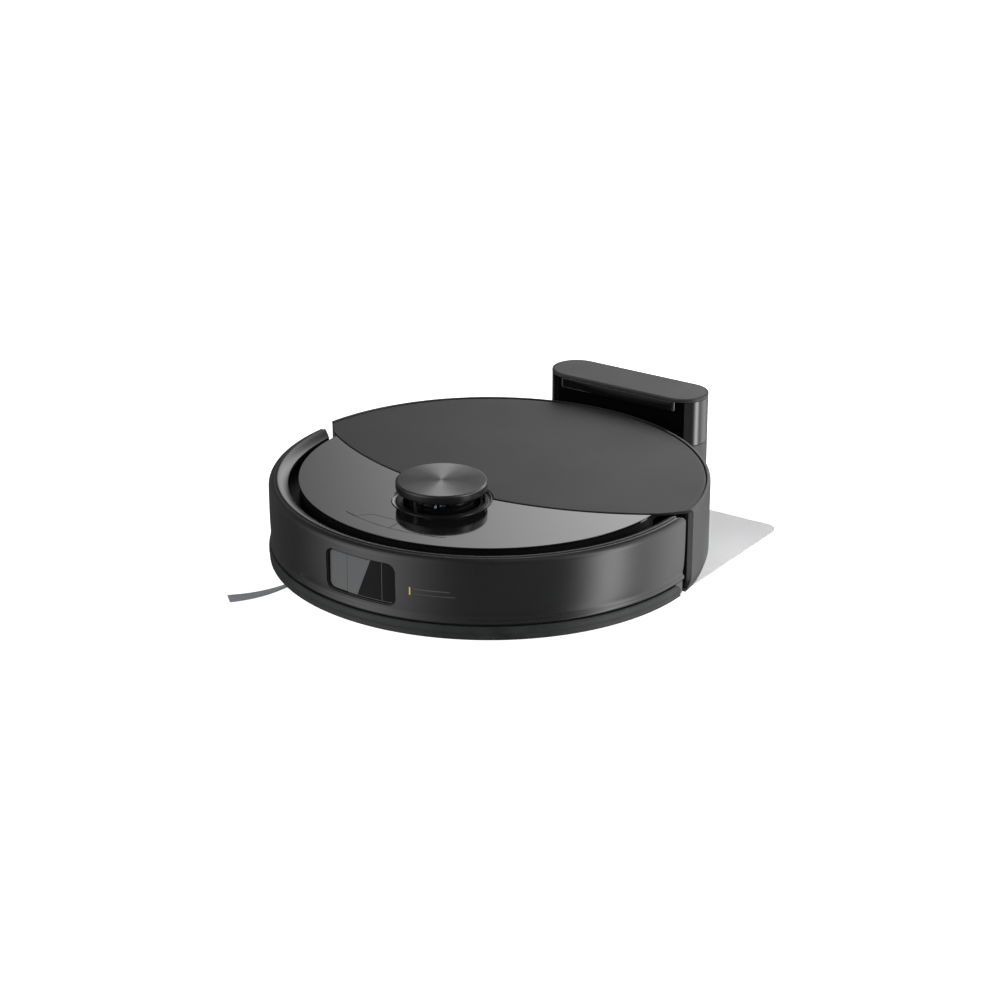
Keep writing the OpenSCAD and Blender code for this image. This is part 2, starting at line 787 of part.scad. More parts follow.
module wheel_arm(side) {
    mirror([side < 0 ? 1 : 0, 0, 0])
        difference() {
            union() {
                x_rod(19, arm_x0, arm_x0 + arm_t, wheel_y, wheel_r);
                x_rod(8, arm_x0, arm_x0 + arm_t, pivot_y, pivot_z);
                side_slab(arm_x0, arm_x0 + arm_t)
                    polygon([[wheel_y, wheel_r + 17], [pivot_y, pivot_z + 8],
                             [pivot_y, pivot_z - 8], [wheel_y + 8, wheel_r - 16]]);
            }
            x_rod(3 + run_fit, 80, 110, pivot_y, pivot_z);
            x_rod(shaft_r + run_fit, arm_x0 + 3, 110, wheel_y, wheel_r);
        }
}

module wheel_arm_left() color("#2e3033") placed() wheel_arm(-1);

module wheel_arm_right() color("#2e3033") placed() wheel_arm(1);

module wheel_hub(side) {
    mirror([side < 0 ? 1 : 0, 0, 0]) {
        difference() {
            x_rod(wheel_r - 7, wheel_x - wheel_w / 2, wheel_x + wheel_w / 2, wheel_y, wheel_r);
            x_rod(wheel_r - 12, wheel_x + 3, wheel_x + wheel_w, wheel_y, wheel_r);
        }
        x_rod(7, wheel_x, wheel_x + wheel_w / 2 - 1, wheel_y, wheel_r);
        x_rod(shaft_r, arm_x0 + 4, wheel_x, wheel_y, wheel_r);
    }
}

module tyre(side) {
    mirror([side < 0 ? 1 : 0, 0, 0])
        difference() {
            x_rod(wheel_r, wheel_x - wheel_w / 2, wheel_x + wheel_w / 2, wheel_y, wheel_r);
            x_rod(wheel_r - 7, wheel_x - wheel_w, wheel_x + wheel_w, wheel_y, wheel_r);
            for (i = [0:23])
                translate([wheel_x, wheel_y, wheel_r]) rotate([15 * i, 0, 0])
                    translate([0, 0, wheel_r]) cube([wheel_w - 4, 2.6, 2.4], center = true);
        }
}

module wheel_hub_left() color("#a2a5a8") placed() wheel_hub(-1);

module wheel_hub_right() color("#a2a5a8") placed() wheel_hub(1);

module tyre_left() color("#1a1a1a") placed() tyre(-1);

module tyre_right() color("#1a1a1a") placed() tyre(1);

module caster_fork() color("#3d4043") placed()
    translate([0, caster_y, 0]) {
        z_rod(shaft_r, 0, 0, 25, 45);
        difference() {
            union() {
                z_rod(16.5, 0, 0, 24.4, 27.6);
                for (s = [-1, 1])
                    intersection() {
                        side_slab(s * 8 - 1.5, s * 8 + 1.5) polygon([
                            [-8, 25], [12, 25], [caster_trail + 6, 8], [caster_trail - 6, 8]
                        ]);
                        z_rod(16.5, 0, 0, 0, 40);
                    }
            }
            x_rod(2.05, -20, 20, caster_trail, caster_r);
        }
    }

module caster_wheel() color("#cfd2d4") placed()
    translate([0, caster_y + caster_trail, caster_r]) {
        x_rod(2, -9.5, 9.5, 0, 0);
        translate([-6, 0, 0]) rotate([0, 90, 0]) rotate_extrude() polygon([
            [1.5, 0], [caster_r - 1.5, 0], [caster_r, 1.5], [caster_r, 10.5],
            [caster_r - 1.5, 12], [1.5, 12]
        ]);
    }

// ---------- dock and mat ----------

module at_dock(z) translate([0, dock_back, z]) children();

// The shallow recess in the pillar's front, from the base up to the lip
module dock_recess() {
    box(-recess_half, recess_half, dock_front - 5, dock_front + recess_depth, dock_base_top, dock_lip_z);
}

module dock_hollow(z0, z1) {
    intersection() {
        at_dock(z0) stadium(dock_end_r - 2.5, z1 - z0);
        behind(dock_front + recess_depth + 2.5);
    }
}

module dock_base() color("#2c2e30") placed() {
    for (p = [[60, 118], [-60, 118], [60, 218], [-60, 218]]) z_rod(7, p[0], p[1], 0, 1 + eps);
    difference() {
        intersection() {
            union() {
                at_dock(1) stadium(dock_end_r, 20);
                translate([0, (dock_base_front + dock_back + 10) / 2, 1]) linear_extrude(20)
                    rounded_rect(dock_w, dock_back - dock_base_front - 10 + 20, 8);
            }
            side_slab(-100, 100) polygon([
                [dock_base_front, 1], [dock_back + 30, 1], [dock_back + 30, dock_base_top],
                [dock_base_front + 26, dock_base_top], [dock_base_front, 3.4]
            ]);
        }
        for (s = [-1, 1]) pad(s * contact_x, contact_y, 3, 30, 11, 17, 2);
    }
}

module dock_body() color("#3c3e41") placed()
    difference() {
        at_dock(dock_base_top) stadium(dock_end_r, dock_split_z - dock_base_top);
        dock_recess();
        dock_hollow(dock_base_top + 2, dock_split_z + 1);
        box(-13.2, 13.2, dock_back + 12, dock_back + 30, 13.8, 30.2);
    }

module dock_upper() color("#1b1c1e") placed()
    difference() {
        at_dock(dock_split_z) stadium(dock_end_r, dock_cap_z - dock_split_z);
        dock_recess();
        dock_hollow(dock_split_z - 1, dock_cap_z - 3);
    }

module dock_cap() color("#45474a") placed()
    at_dock(dock_cap_z) {
        stadium(dock_end_r - 0.5, 0.8);
        translate([0, 0, 0.8]) stadium(dock_end_r, dock_h - dock_cap_z - 0.8);
    }

module dock_window() color("#08080a") placed()
    box(-recess_half + 0.2, recess_half - 0.2, dock_front + recess_depth - 1,
        dock_front + recess_depth, dock_base_top, dock_lip_z - 0.2);

module power_inlet() color("#121314") placed()
    difference() {
        box(-13, 13, dock_back + 13, dock_back + dock_end_r - 0.4, 14, 30);
        translate([0, dock_back + 40, 22]) rotate([90, 0, 0]) linear_extrude(26) {
            square([8, 9], center = true);
            for (x = [-4, 4]) translate([x, 0]) circle(r = 4.5);
        }
    }

module dock_contact(side) {
    pad(side * contact_x, contact_y, 5, 9.6, 9.6, 15.6, 1.6);
    pad(side * contact_x, contact_y, 9.6, 11.2, 7, 12, 1.4);
}

module dock_contact_left() color("#c9a24a") placed() dock_contact(-1);

module dock_contact_right() color("#c9a24a") placed() dock_contact(1);

module floor_mat() color("#d8dadb", 0.7) placed()
    difference() {
        pad(0, (mat_y0 + mat_y1) / 2, 0, mat_t, mat_w, mat_y1 - mat_y0, 12);
        box(-dock_w / 2 - 0.3, dock_w / 2 + 0.3, dock_base_front - 0.3, 300, -1, 10);
    }

chassis_base();
brush_bay();
front_wall();
chassis_mounts();
caster_tower();
rear_shell();
deck_frame();
deck_panel();
lidar_base();
lidar_ring();
lidar_motor();
lidar_belt();
main_board();
battery();
battery_cover();
fan_housing();
brush_gearbox();
brush_cover();
side_brush_motor();
charge_pads();
cliff_sensors();
fasteners();
bumper_springs();
bumper_shell();
bumper_skirt();
window_glass();
window_frame();
obstacle_camera();
accent_marks();
lid();
dustbin();
dustbin_handle();
dustbin_filter();
power_button();
dock_button();
lidar_cap();
lidar_rotor();
lidar_pulley();
fan_impeller();
brush_core();
brush_fins();
side_brush_hub();
side_brush_bristles();
wheel_arm_left();
wheel_arm_right();
wheel_hub_left();
wheel_hub_right();
tyre_left();
tyre_right();
caster_fork();
caster_wheel();
dock_base();
dock_body();
dock_upper();
dock_cap();
dock_window();
power_inlet();
dock_contact_left();
dock_contact_right();
floor_mat();
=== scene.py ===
import math

import bmesh
import bpy
from mathutils import Matrix, Vector
from mathutils.geometry import tessellate_polygon

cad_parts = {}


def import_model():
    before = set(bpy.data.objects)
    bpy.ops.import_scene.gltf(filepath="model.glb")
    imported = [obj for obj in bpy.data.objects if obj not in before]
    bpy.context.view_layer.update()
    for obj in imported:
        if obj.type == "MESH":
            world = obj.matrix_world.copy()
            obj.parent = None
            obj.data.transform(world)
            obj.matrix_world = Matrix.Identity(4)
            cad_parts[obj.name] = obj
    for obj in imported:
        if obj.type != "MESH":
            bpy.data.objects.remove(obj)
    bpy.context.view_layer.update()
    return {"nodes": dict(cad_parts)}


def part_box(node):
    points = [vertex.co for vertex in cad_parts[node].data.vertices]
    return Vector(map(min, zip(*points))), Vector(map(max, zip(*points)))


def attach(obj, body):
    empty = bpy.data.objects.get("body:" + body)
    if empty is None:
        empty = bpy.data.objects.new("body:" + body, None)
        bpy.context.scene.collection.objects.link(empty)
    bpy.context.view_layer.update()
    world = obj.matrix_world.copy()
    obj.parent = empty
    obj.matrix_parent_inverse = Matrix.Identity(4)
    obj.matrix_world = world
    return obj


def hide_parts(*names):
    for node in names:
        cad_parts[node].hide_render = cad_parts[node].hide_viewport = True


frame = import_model()

MM = 0.001
BUMPER_LO, BUMPER_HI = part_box("bumper_shell")
AXIS_Y = BUMPER_LO.y + (BUMPER_HI.x - BUMPER_LO.x) / 2

# Shapes are written in millimetres about the robot's own vertical axis, front towards -Y.
LIDAR_Y = -66.3
SEAM_Y = 233.0
SEAM_R = 279.0
FLANK_Y = 156.5
FLANK_R = 220.0
LID_R = 173.9
DECK_R = 152.8
DECK_TOP = 79.8
LID_TOP = 80.5
CAP_TOP = 96.5
RING_R = 39.6
BUMPER_R = 176.8
BUMPER_END_Y = 10.5
SHELL_FRONT_Y = 20.0
BUMPER_CORNER = 4.8
BUMPER_TOP = 79.75
WINDOW_Z = 52.7
WINDOW_W = 65.0
WINDOW_H = 35.0
DOCK_Y = 215.0
DOCK_HALF = 53.0
DOCK_R = 22.0
DOCK_TOP = 96.3
HINGE_X, HINGE_Y, HINGE_Z = 30, 165, 78.6
KNUCKLE_X = 4.6
POST_R = 33.6
POST_ANGLES = (268, 388, 508)
EYE_Z = 83.4
EYE_TURNS = (34, -42, 110)
BUNDLE_ANGLE = 227.8
MAT_HALF, MAT_FRONT, MAT_BACK, MAT_THICK = 158.5, 45.0, 201.0, 1.2


# ---------------------------------------------------------------- small geometry helpers

def world(p):
    return (p[0] * MM, p[1] * MM + AXIS_Y, p[2] * MM)


def fillet(points, steps=6):
    """Closed 2-D outline from corners (a, b, radius), with each corner rounded."""
    out = []
    for i, (a, b, radius) in enumerate(points):
        here = Vector((a, b))
        back = Vector(points[i - 1][:2]) - here
        ahead = Vector(points[(i + 1) % len(points)][:2]) - here
        if radius <= 0 or back.length < 1e-6 or ahead.length < 1e-6:
            out.append((a, b))
            continue
        half = back.angle(ahead) / 2
        run = min(radius / math.tan(half), 0.499 * back.length, 0.499 * ahead.length)
        radius = run * math.tan(half)
        inward = (back.normalized() + ahead.normalized()).normalized()
        middle = here + inward * (radius / math.sin(half))
        start = here + back.normalized() * run - middle
        stop = here + ahead.normalized() * run - middle
        a0 = math.atan2(start.y, start.x)
        turn = (math.atan2(stop.y, stop.x) - a0 + math.pi) % (2 * math.pi) - math.pi
        for k in range(steps + 1):
            t = a0 + turn * k / steps
            out.append((middle.x + radius * math.cos(t), middle.y + radius * math.sin(t)))
    return out


def arc(cx, cy, r, a0, a1, n):
    """n + 1 points from angle a0 to a1, in radians."""
    return [(cx + r * math.cos(a0 + (a1 - a0) * k / n), cy + r * math.sin(a0 + (a1 - a0) * k / n))
            for k in range(n + 1)]


def meet(y0, r0, y1, r1):
    """Where two circles with centres (0, y0) and (0, y1) cross, on the +X side."""
    gap = y1 - y0
    along = (gap * gap + r0 * r0 - r1 * r1) / (2 * gap)
    return Vector((math.sqrt(max(r0 * r0 - along * along, 0)), y0 + along))


def angle_about(p, cy):
    return math.atan2(p.y - cy, p.x)


def rounded_rect(w, h, r, steps=8):
    """Outline of a rectangle with round corners, counter-clockwise, as (u, v)."""
    out = []
    for sx, sy, a in ((1, -1, -90), (1, 1, 0), (-1, 1, 90), (-1, -1, 180)):
        cx, cy = sx * (w / 2 - r), sy * (h / 2 - r)
        out += arc(cx, cy, r, math.radians(a), math.radians(a + 90), steps)
    return out


def split_long(loop, longest):
    """The same closed outline with its long straight runs divided."""
    out = []
    for i, p in enumerate(loop):
        q = loop[(i + 1) % len(loop)]
        n = max(1, math.ceil(math.dist(p, q) / longest))
        out += [(p[0] + (q[0] - p[0]) * k / n, p[1] + (q[1] - p[1]) * k / n) for k in range(n)]
    return out


def inset(loop, d):
    """A counter-clockwise outline moved inwards by d; a clockwise one, such as a hole, grows."""
    out = []
    n = len(loop)
    for i in range(n):
        p = Vector(loop[i])
        e0 = (p - Vector(loop[i - 1])).normalized()
        e1 = (Vector(loop[(i + 1) % n]) - p).normalized()
        n0, n1 = Vector((-e0.y, e0.x)), Vector((-e1.y, e1.x))
        m = n0 + n1
        m = m / max(m.length_squared / 2, 0.35)
        out.append((p.x + m.x * d, p.y + m.y * d))
    return out


# ---------------------------------------------------------------- making pieces

def finish_mesh(ob, sharp, bevel, segments, cutters):
    """Cuts, bevels and shades a piece, and leaves the result in its mesh with no modifiers."""
    for cutter in cutters:
        cut = ob.modifiers.new("cut", "BOOLEAN")
        cut.operation = "DIFFERENCE"
        cut.solver = "EXACT"
        cut.object = cutter
    if bevel:
        edge = ob.modifiers.new("edge", "BEVEL")
        edge.width = bevel * MM
        edge.segments = segments
        edge.limit_method = "ANGLE"
        edge.angle_limit = math.radians(38)
        edge.use_clamp_overlap = True
    apply_modifiers(ob)
    ob.data.polygons.foreach_set("use_smooth", [True] * len(ob.data.polygons))
    ob.data.set_sharp_from_angle(angle=math.radians(sharp))
    even = ob.modifiers.new("normals", "WEIGHTED_NORMAL")
    even.mode = "FACE_AREA"
    even.weight = 50
    even.keep_sharp = True
    apply_modifiers(ob)
    for cutter in cutters:
        bpy.data.objects.remove(cutter)


def apply_modifiers(ob):
    if not ob.modifiers:
        return
    graph = bpy.context.evaluated_depsgraph_get()
    graph.update()
    mesh = bpy.data.meshes.new_from_object(ob.evaluated_get(graph))
    ob.modifiers.clear()
    old = ob.data
    ob.data = mesh
    mesh.name = ob.name
    bpy.data.meshes.remove(old)


def solid(name, verts, faces):
    mesh = bpy.data.meshes.new(name)
    mesh.from_pydata([world(v) for v in verts], [], faces)
    bm = bmesh.new()
    bm.from_mesh(mesh)
    bmesh.ops.remove_doubles(bm, verts=bm.verts, dist=2e-7)
    bmesh.ops.dissolve_degenerate(bm, edges=bm.edges, dist=1e-8)
    bmesh.ops.recalc_face_normals(bm, faces=bm.faces)
    bm.to_mesh(mesh)
    bm.free()
    ob = bpy.data.objects.new(name, mesh)
    bpy.context.scene.collection.objects.link(ob)
    return ob


def piece(name, shape, body, material, node=None, sharp=32, bevel=0, segments=2, cutters=()):
    """One visible piece from (verts, faces). It rides on body and may stand for a CAD node."""
    ob = solid(name, *shape)
    finish_mesh(ob, sharp, bevel, segments, cutters)
    ob.data.materials.clear()
    ob.data.materials.append(material)
    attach(ob, body)
    if node:
        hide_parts(*([node] if isinstance(node, str) else node))
    return ob


def merge(*shapes):
    verts, faces = [], []
    for v, f in shapes:
        base = len(verts)
        verts += list(v)
        faces += [tuple(i + base for i in face) for face in f]
    return verts, faces


def mirrored(shape):
    return [(-x, y, z) for x, y, z in shape[0]], [tuple(reversed(f)) for f in shape[1]]


def lathe(profile, cx=0.0, cy=0.0, seg=160, closed=True):
    """Revolves (r, z) points about a vertical axis. closed joins the last point to the first."""
    verts, faces = [], []
    n = len(profile)
    for i in range(seg):
        a = 2 * math.pi * i / seg
        verts += [(cx + r * math.cos(a), cy + r * math.sin(a), z) for r, z in profile]
    for i in range(seg):
        j = (i + 1) % seg
        for k in range(n if closed else n - 1):
            m = (k + 1) % n
            faces.append((i * n + k, j * n + k, j * n + m, i * n + m))
    return verts, faces


def sweep(outer, inner, angles):
    """Wall between paired (r, z) chains. angles(r, z) gives that height's columns, from -Y."""
    loop = outer + inner[::-1]
    n = len(outer)
    rows = [[(r * math.sin(t), -r * math.cos(t), z) for t in angles(r, z)] for r, z in loop]
    cols = len(rows[0])
    verts = [p for row in rows for p in row]
    faces = []
    for k in range(2 * n):
        m = (k + 1) % (2 * n)
        faces += [(k * cols + c, k * cols + c + 1, m * cols + c + 1, m * cols + c)
                  for c in range(cols - 1)]
    for c in (0, cols - 1):
        for k in range(n - 1):
            a, b = k, k + 1
            ia, ib = 2 * n - 1 - k, 2 * n - 2 - k
            faces.append((a * cols + c, b * cols + c, ib * cols + c, ia * cols + c))
    return verts, faces


def loft(loops, cap_top=True, cap_bottom=True, holes=()):
    """Skins a stack of equal outlines [(x, y), ...], z. holes is a list of such stacks."""
    verts, faces = [], []
    rims = {0: [], -1: []}
    for stack in [loops] + list(holes):
        base = len(verts)
        n = len(stack[0][0])
        for outline, z in stack:
            verts += [(x, y, z) for x, y in outline]
        for k in range(len(stack) - 1):
            for i in range(n):
                j = (i + 1) % n
                a = base + k * n
                faces.append((a + i, a + j, a + n + j, a + n + i))
        rims[0].append(list(range(base, base + n)))
        last = base + (len(stack) - 1) * n
        rims[-1].append(list(range(last, last + n)))
    for end, wanted in ((0, cap_bottom), (-1, cap_top)):
        if wanted:
            flat = [i for rim in rims[end] for i in rim]
            lines = [[Vector((verts[i][0], verts[i][1], 0)) for i in rim] for rim in rims[end]]
            faces += [tuple(flat[i] for i in tri) for tri in tessellate_polygon(lines)]
    return verts, faces


def round_edge(z, r, up, steps=4):
    """(inset, height) pairs of a quarter round: up for a top edge, else a bottom edge."""
    pairs = []
    for k in range(steps + 1):
        t = math.pi / 2 * k / steps
        if up:
            pairs.append((r * (1 - math.cos(t)), z - r + r * math.sin(t)))
        else:
            pairs.append((r * (1 - math.sin(t)), z + r - r * math.cos(t)))
    return pairs


def slab(outline, z0, z1, top=0.4, bottom=0.2, holes=()):
    """Plate of any outline with rounded rims. Holes are clockwise outlines."""
    levels = round_edge(z0, bottom, False) + round_edge(z1, top, True)
    stack = [(inset(outline, d), z) for d, z in levels]
    cut = [[(inset(h, d), z) for d, z in levels] for h in holes]
    return loft(stack, holes=cut)


def on_cylinder(u, v, r):
    """A point of the bumper's face: u to the side, v up, r from the robot's axis."""
    return (u, -math.sqrt(r * r - u * u), v)


def wrap_frame(profile, w, h, corner, vc):
    """Ring round the sensor window. profile is (inset, function giving r at a height)."""
    verts, faces = [], []
    loop = split_long(rounded_rect(w, h, corner), 1.6)
    n = len(loop)
    for d, r in profile:
        verts += [on_cylinder(u, vc + v, r(vc + v)) for u, v in inset(loop, d)]
    m = len(profile)
    for k in range(m):
        q = (k + 1) % m
        for i in range(n):
            j = (i + 1) % n
            faces.append((k * n + i, k * n + j, q * n + j, q * n + i))
    return verts, faces


def wrap_panel(u0, u1, low, high, r0, r1, cols):
    """Curved plate between two heights that vary with u, from radius r0 out to r1."""
    verts, faces = [], []
    for i in range(cols + 1):
        u = u0 + (u1 - u0) * i / cols
        a, b = low(u), high(u)
        verts += [on_cylinder(u, a, r1), on_cylinder(u, b, r1),
                  on_cylinder(u, b, r0), on_cylinder(u, a, r0)]
    for i in range(cols):
        p, q = 4 * i, 4 * i + 4
        for k in range(4):
            m = (k + 1) % 4
            faces.append((p + k, q + k, q + m, p + m))
    faces += [(0, 1, 2, 3), (4 * cols + 3, 4 * cols + 2, 4 * cols + 1, 4 * cols)]
    return verts, faces


def tube(rings):
    """Skins equal closed rings of points in turn, with a flat face at each end."""
    n, last = len(rings[0]), len(rings) - 1
    faces = [(k * n + i, k * n + (i + 1) % n, (k + 1) * n + (i + 1) % n, (k + 1) * n + i)
             for k in range(last) for i in range(n)]
    faces += [tuple(range(n)), tuple(range(last * n, (last + 1) * n))]
    return [p for ring in rings for p in ring], faces


def rod(axis, r, a, b, u, v, seg=32):
    """Rod with softened ends along an axis: 'x' at (y, z) = (u, v), or 'z' at (x, y) = (u, v)."""
    c = min(0.25, r * 0.25, (b - a) * 0.2)
    stations = [(a, r - c), (a + c * 0.3, r - c * 0.3), (a + c, r), (b - c, r),
                (b - c * 0.3, r - c * 0.3), (b, r - c)]
    rings = []
    for s, rad in stations:
        circle = arc(u, v, rad, 0, 2 * math.pi, seg)[:-1]
        rings.append([(s, p, q) if axis == "x" else (p, q, s) for p, q in circle])
    return tube(rings)


def block(x0, x1, y0, y1, z0, z1):
    verts = [(x, y, z) for z in (z0, z1) for x, y in ((x0, y0), (x1, y0), (x1, y1), (x0, y1))]
    faces = [(3, 2, 1, 0), (4, 5, 6, 7), (0, 1, 5, 4), (1, 2, 6, 5), (2, 3, 7, 6), (3, 0, 4, 7)]
    return verts, faces


# ---------------------------------------------------------------- materials

class Graph:
    """Short way to write a node tree."""

    def __init__(self, name):
        self.material = bpy.data.materials.new(name)
        self.material.use_nodes = True
        self.tree = self.material.node_tree
        self.shader = self.tree.nodes["Principled BSDF"]
        self.place = self.tree.nodes.new("ShaderNodeTexCoord").outputs["Object"]

    def node(self, kind, **values):
        made = self.tree.nodes.new(kind)
        for key, value in values.items():
            if hasattr(made, key):
                setattr(made, key, value)
            else:
                made.inputs[key.replace("_", " ")].default_value = value
        return made

    def link(self, source, target):
        self.tree.links.new(source, target)

    def noise(self, scale, detail=3.0, rough=0.5, stretch=None):
        made = self.node("ShaderNodeTexNoise", Scale=scale, Detail=detail, Roughness=rough)
        place = self.place
        if stretch:
            mapping = self.node("ShaderNodeMapping")
            mapping.inputs["Scale"].default_value = stretch
            self.link(place, mapping.inputs["Vector"])
            place = mapping.outputs["Vector"]
        self.link(place, made.inputs["Vector"])
        return made.outputs["Fac"]

    def spread(self, source, low, high, a=0.3, b=0.7):
        made = self.node("ShaderNodeMapRange")
        for key, value in (("From Min", a), ("From Max", b), ("To Min", low), ("To Max", high)):
            made.inputs[key].default_value = value
        self.link(source, made.inputs["Value"])
        return made.outputs["Result"]

    def mix(self, fac, first, second):
        made = self.node("ShaderNodeMix", data_type="RGBA")
        self.link(fac, made.inputs[0])
        for index, colour in ((6, first), (7, second)):
            if isinstance(colour, tuple):
                made.inputs[index].default_value = (*colour, 1)
            else:
                self.link(colour, made.inputs[index])
        return made.outputs[2]

    def bump(self, source, distance, strength=1.0, previous=None):
        made = self.node("ShaderNodeBump", Strength=strength, Distance=distance)
        self.link(source, made.inputs["Height"])
        if previous is not None:
            self.link(previous, made.inputs["Normal"])
        return made.outputs["Normal"]

    def edges(self, low=0.51, high=0.56):
        """0 on open surfaces, rising on outer edges, which are paled as wear and as a painted edge
        highlight.
        """
        made = self.node("ShaderNodeNewGeometry")
        return self.spread(made.outputs["Pointiness"], 0.0, 1.0, low, high)

    def set(self, **values):
        for key, value in values.items():
            socket = self.shader.inputs[key.replace("_", " ")]
            if isinstance(value, bpy.types.NodeSocket):
                self.link(value, socket)
            elif isinstance(value, tuple) and len(value) == 3:
                socket.default_value = (*value, 1)
            else:
                socket.default_value = value
        return self


def shade(colour, factor, lift=0.0):
    return tuple(min(1.0, c * factor + lift) for c in colour)


def moulded(name, colour, rough, grain=900.0, depth=0.000012, vary=0.06, specular=0.5, tint=0.18,
            wear_and_highlight=0.25, **extra):
    """Moulded plastic: fine spark grain, uneven gloss, slight shade change, outer edges paled as
    wear and as a painted edge highlight.
    """
    g = Graph(name)
    fine = g.noise(grain, 2.0, 0.6)
    broad = g.noise(14.0, 4.0, 0.6)
    pale = shade(colour, 1 + tint, 0.002)
    dark = shade(colour, 1 - tint)
    body = g.mix(g.spread(broad, 0, 1, 0.35, 0.65), dark, pale)
    # paler outer edges: partly wear, partly a painted edge highlight
    worn_and_highlit = shade(colour, 1.6, 0.01)
    edge = g.node("ShaderNodeMath", operation="MULTIPLY")
    g.link(g.edges(), edge.inputs[0])
    edge.inputs[1].default_value = wear_and_highlight
    g.set(Base_Color=g.mix(edge.outputs[0], body, worn_and_highlit),
          Roughness=g.spread(broad, rough - vary, rough + vary),
          Normal=g.bump(fine, depth), Specular_IOR_Level=specular, **extra)
    return g.material


def rubber(name, colour, rough=0.62):
    g = Graph(name)
    fine = g.noise(1400.0, 3.0, 0.65)
    dust = g.noise(60.0, 5.0, 0.6)
    pale = shade(colour, 1.5, 0.006)
    g.set(Base_Color=g.mix(g.spread(dust, 0, 1, 0.4, 0.75), colour, pale),
          Roughness=g.spread(dust, rough - 0.08, rough + 0.1),
          Normal=g.bump(fine, 0.00003), Specular_IOR_Level=0.35)
    return g.material


def polished(name, colour, rough=0.07, specular=0.6, coat=0.0):
    """High-gloss plastic with the faint waviness of moulding and hairline marks."""
    g = Graph(name)
    wave = g.noise(24.0, 2.0, 0.4)
    lines = g.noise(2600.0, 2.0, 0.5, (1.0, 0.03, 1.0))
    pale = shade(colour, 1.12)
    rubbed = g.node("ShaderNodeMath", operation="ADD")
    g.link(g.spread(lines, 0.0, rough * 0.35, 0.55, 0.8), rubbed.inputs[0])
    g.link(g.spread(wave, rough * 0.9, rough * 1.15), rubbed.inputs[1])
    g.set(Base_Color=g.mix(wave, colour, pale), Roughness=rubbed.outputs[0],
          Normal=g.bump(wave, 0.000004), Specular_IOR_Level=specular, Coat_Weight=coat,
          Coat_Roughness=0.03)
    return g.material


def metal(name, colour, rough=0.28, brushed=(1.0, 1.0, 1.0), anisotropic=0.0, depth=0.00001):
    g = Graph(name)
    fine = g.noise(1500.0, 4.0, 0.6, brushed)
    broad = g.noise(30.0, 3.0)
    pale = shade(colour, 1.15)
    g.set(Base_Color=g.mix(g.spread(fine, 0, 1), colour, pale), Metallic=1.0,
          Roughness=g.spread(broad, rough - 0.05, rough + 0.07),
          Normal=g.bump(fine, depth), Anisotropic=anisotropic)
    return g.material


def spun_metal(name):
    """Dark disc turned on a lathe: fine rings and a tangent that runs round the axis."""
    g = Graph(name)
    split = g.node("ShaderNodeSeparateXYZ")
    shift = g.node("ShaderNodeMapping")
    shift.inputs["Location"].default_value = (0.0, -(LIDAR_Y * MM + AXIS_Y), 0.0)
    g.link(g.place, shift.inputs["Vector"])
    g.link(shift.outputs["Vector"], split.inputs[0])
    flat = g.node("ShaderNodeCombineXYZ")
    g.link(split.outputs["X"], flat.inputs["X"])
    g.link(split.outputs["Y"], flat.inputs["Y"])
    radius = g.node("ShaderNodeVectorMath", operation="LENGTH")
    g.link(flat.outputs[0], radius.inputs[0])
    ring = g.node("ShaderNodeCombineXYZ")
    g.link(radius.outputs["Value"], ring.inputs["X"])
    rings = g.node("ShaderNodeTexNoise", Scale=5200.0, Detail=2.0, Roughness=0.7)
    g.link(ring.outputs[0], rings.inputs["Vector"])
    around = g.node("ShaderNodeTangent", direction_type="RADIAL", axis="Z")
    cloud = g.noise(70.0, 3.0)
    g.set(Base_Color=g.mix(g.spread(rings.outputs["Fac"], 0, 1), (0.085, 0.086, 0.088),
                           (0.13, 0.131, 0.133)),
          Roughness=g.spread(cloud, 0.3, 0.36), Metallic=1.0, Anisotropic=0.9,
          Normal=g.bump(rings.outputs["Fac"], 0.000002), Tangent=around.outputs[0])
    return g.material


def clear_plastic(name, colour, rough=0.2, weight=0.8):
    g = Graph(name)
    haze = g.noise(55.0, 4.0)
    g.set(Base_Color=g.mix(g.spread(haze, 0, 1), colour, shade(colour, 0.85)),
          Roughness=g.spread(haze, rough - 0.06, rough + 0.1),
          Normal=g.bump(g.noise(700.0), 0.00001),
          Transmission_Weight=weight, IOR=1.45)
    return g.material


def pleated(name):
    g = Graph(name)
    fibre = g.noise(1800.0, 5.0, 0.7, (1.0, 1.0, 0.25))
    dust = g.noise(90.0, 4.0)
    g.set(Base_Color=g.mix(g.spread(dust, 0, 1), (0.72, 0.73, 0.72), (0.6, 0.6, 0.58)),
          Roughness=g.spread(fibre, 0.8, 0.95), Normal=g.bump(fibre, 0.00005))
    return g.material


def circuit(name):
    """Solder mask with copper lines under it."""
    g = Graph(name)
    cells = g.node("ShaderNodeTexBrick", Scale=150.0, Mortar_Size=0.03)
    g.link(g.place, cells.inputs["Vector"])
    tracks = g.spread(cells.outputs["Fac"], 0, 1, 0.2, 0.8)
    g.set(Base_Color=g.mix(tracks, (0.012, 0.085, 0.035), (0.02, 0.16, 0.06)),
          Roughness=g.spread(g.noise(300.0), 0.25, 0.4), Normal=g.bump(tracks, 0.00002))
    return g.material


def coated_lens(name, colour, rough=0.04):
    g = Graph(name)
    sheen = g.noise(120.0, 1.0)
    g.set(Base_Color=g.mix(sheen, colour, shade(colour, 1.5)),
          Roughness=g.spread(sheen, rough, rough + 0.03), Normal=g.bump(sheen, 0.000003),
          Specular_IOR_Level=0.8, Coat_Weight=1.0, Coat_Roughness=0.02,
          Coat_Tint=(0.75, 0.85, 1.0, 1.0))
    return g.material


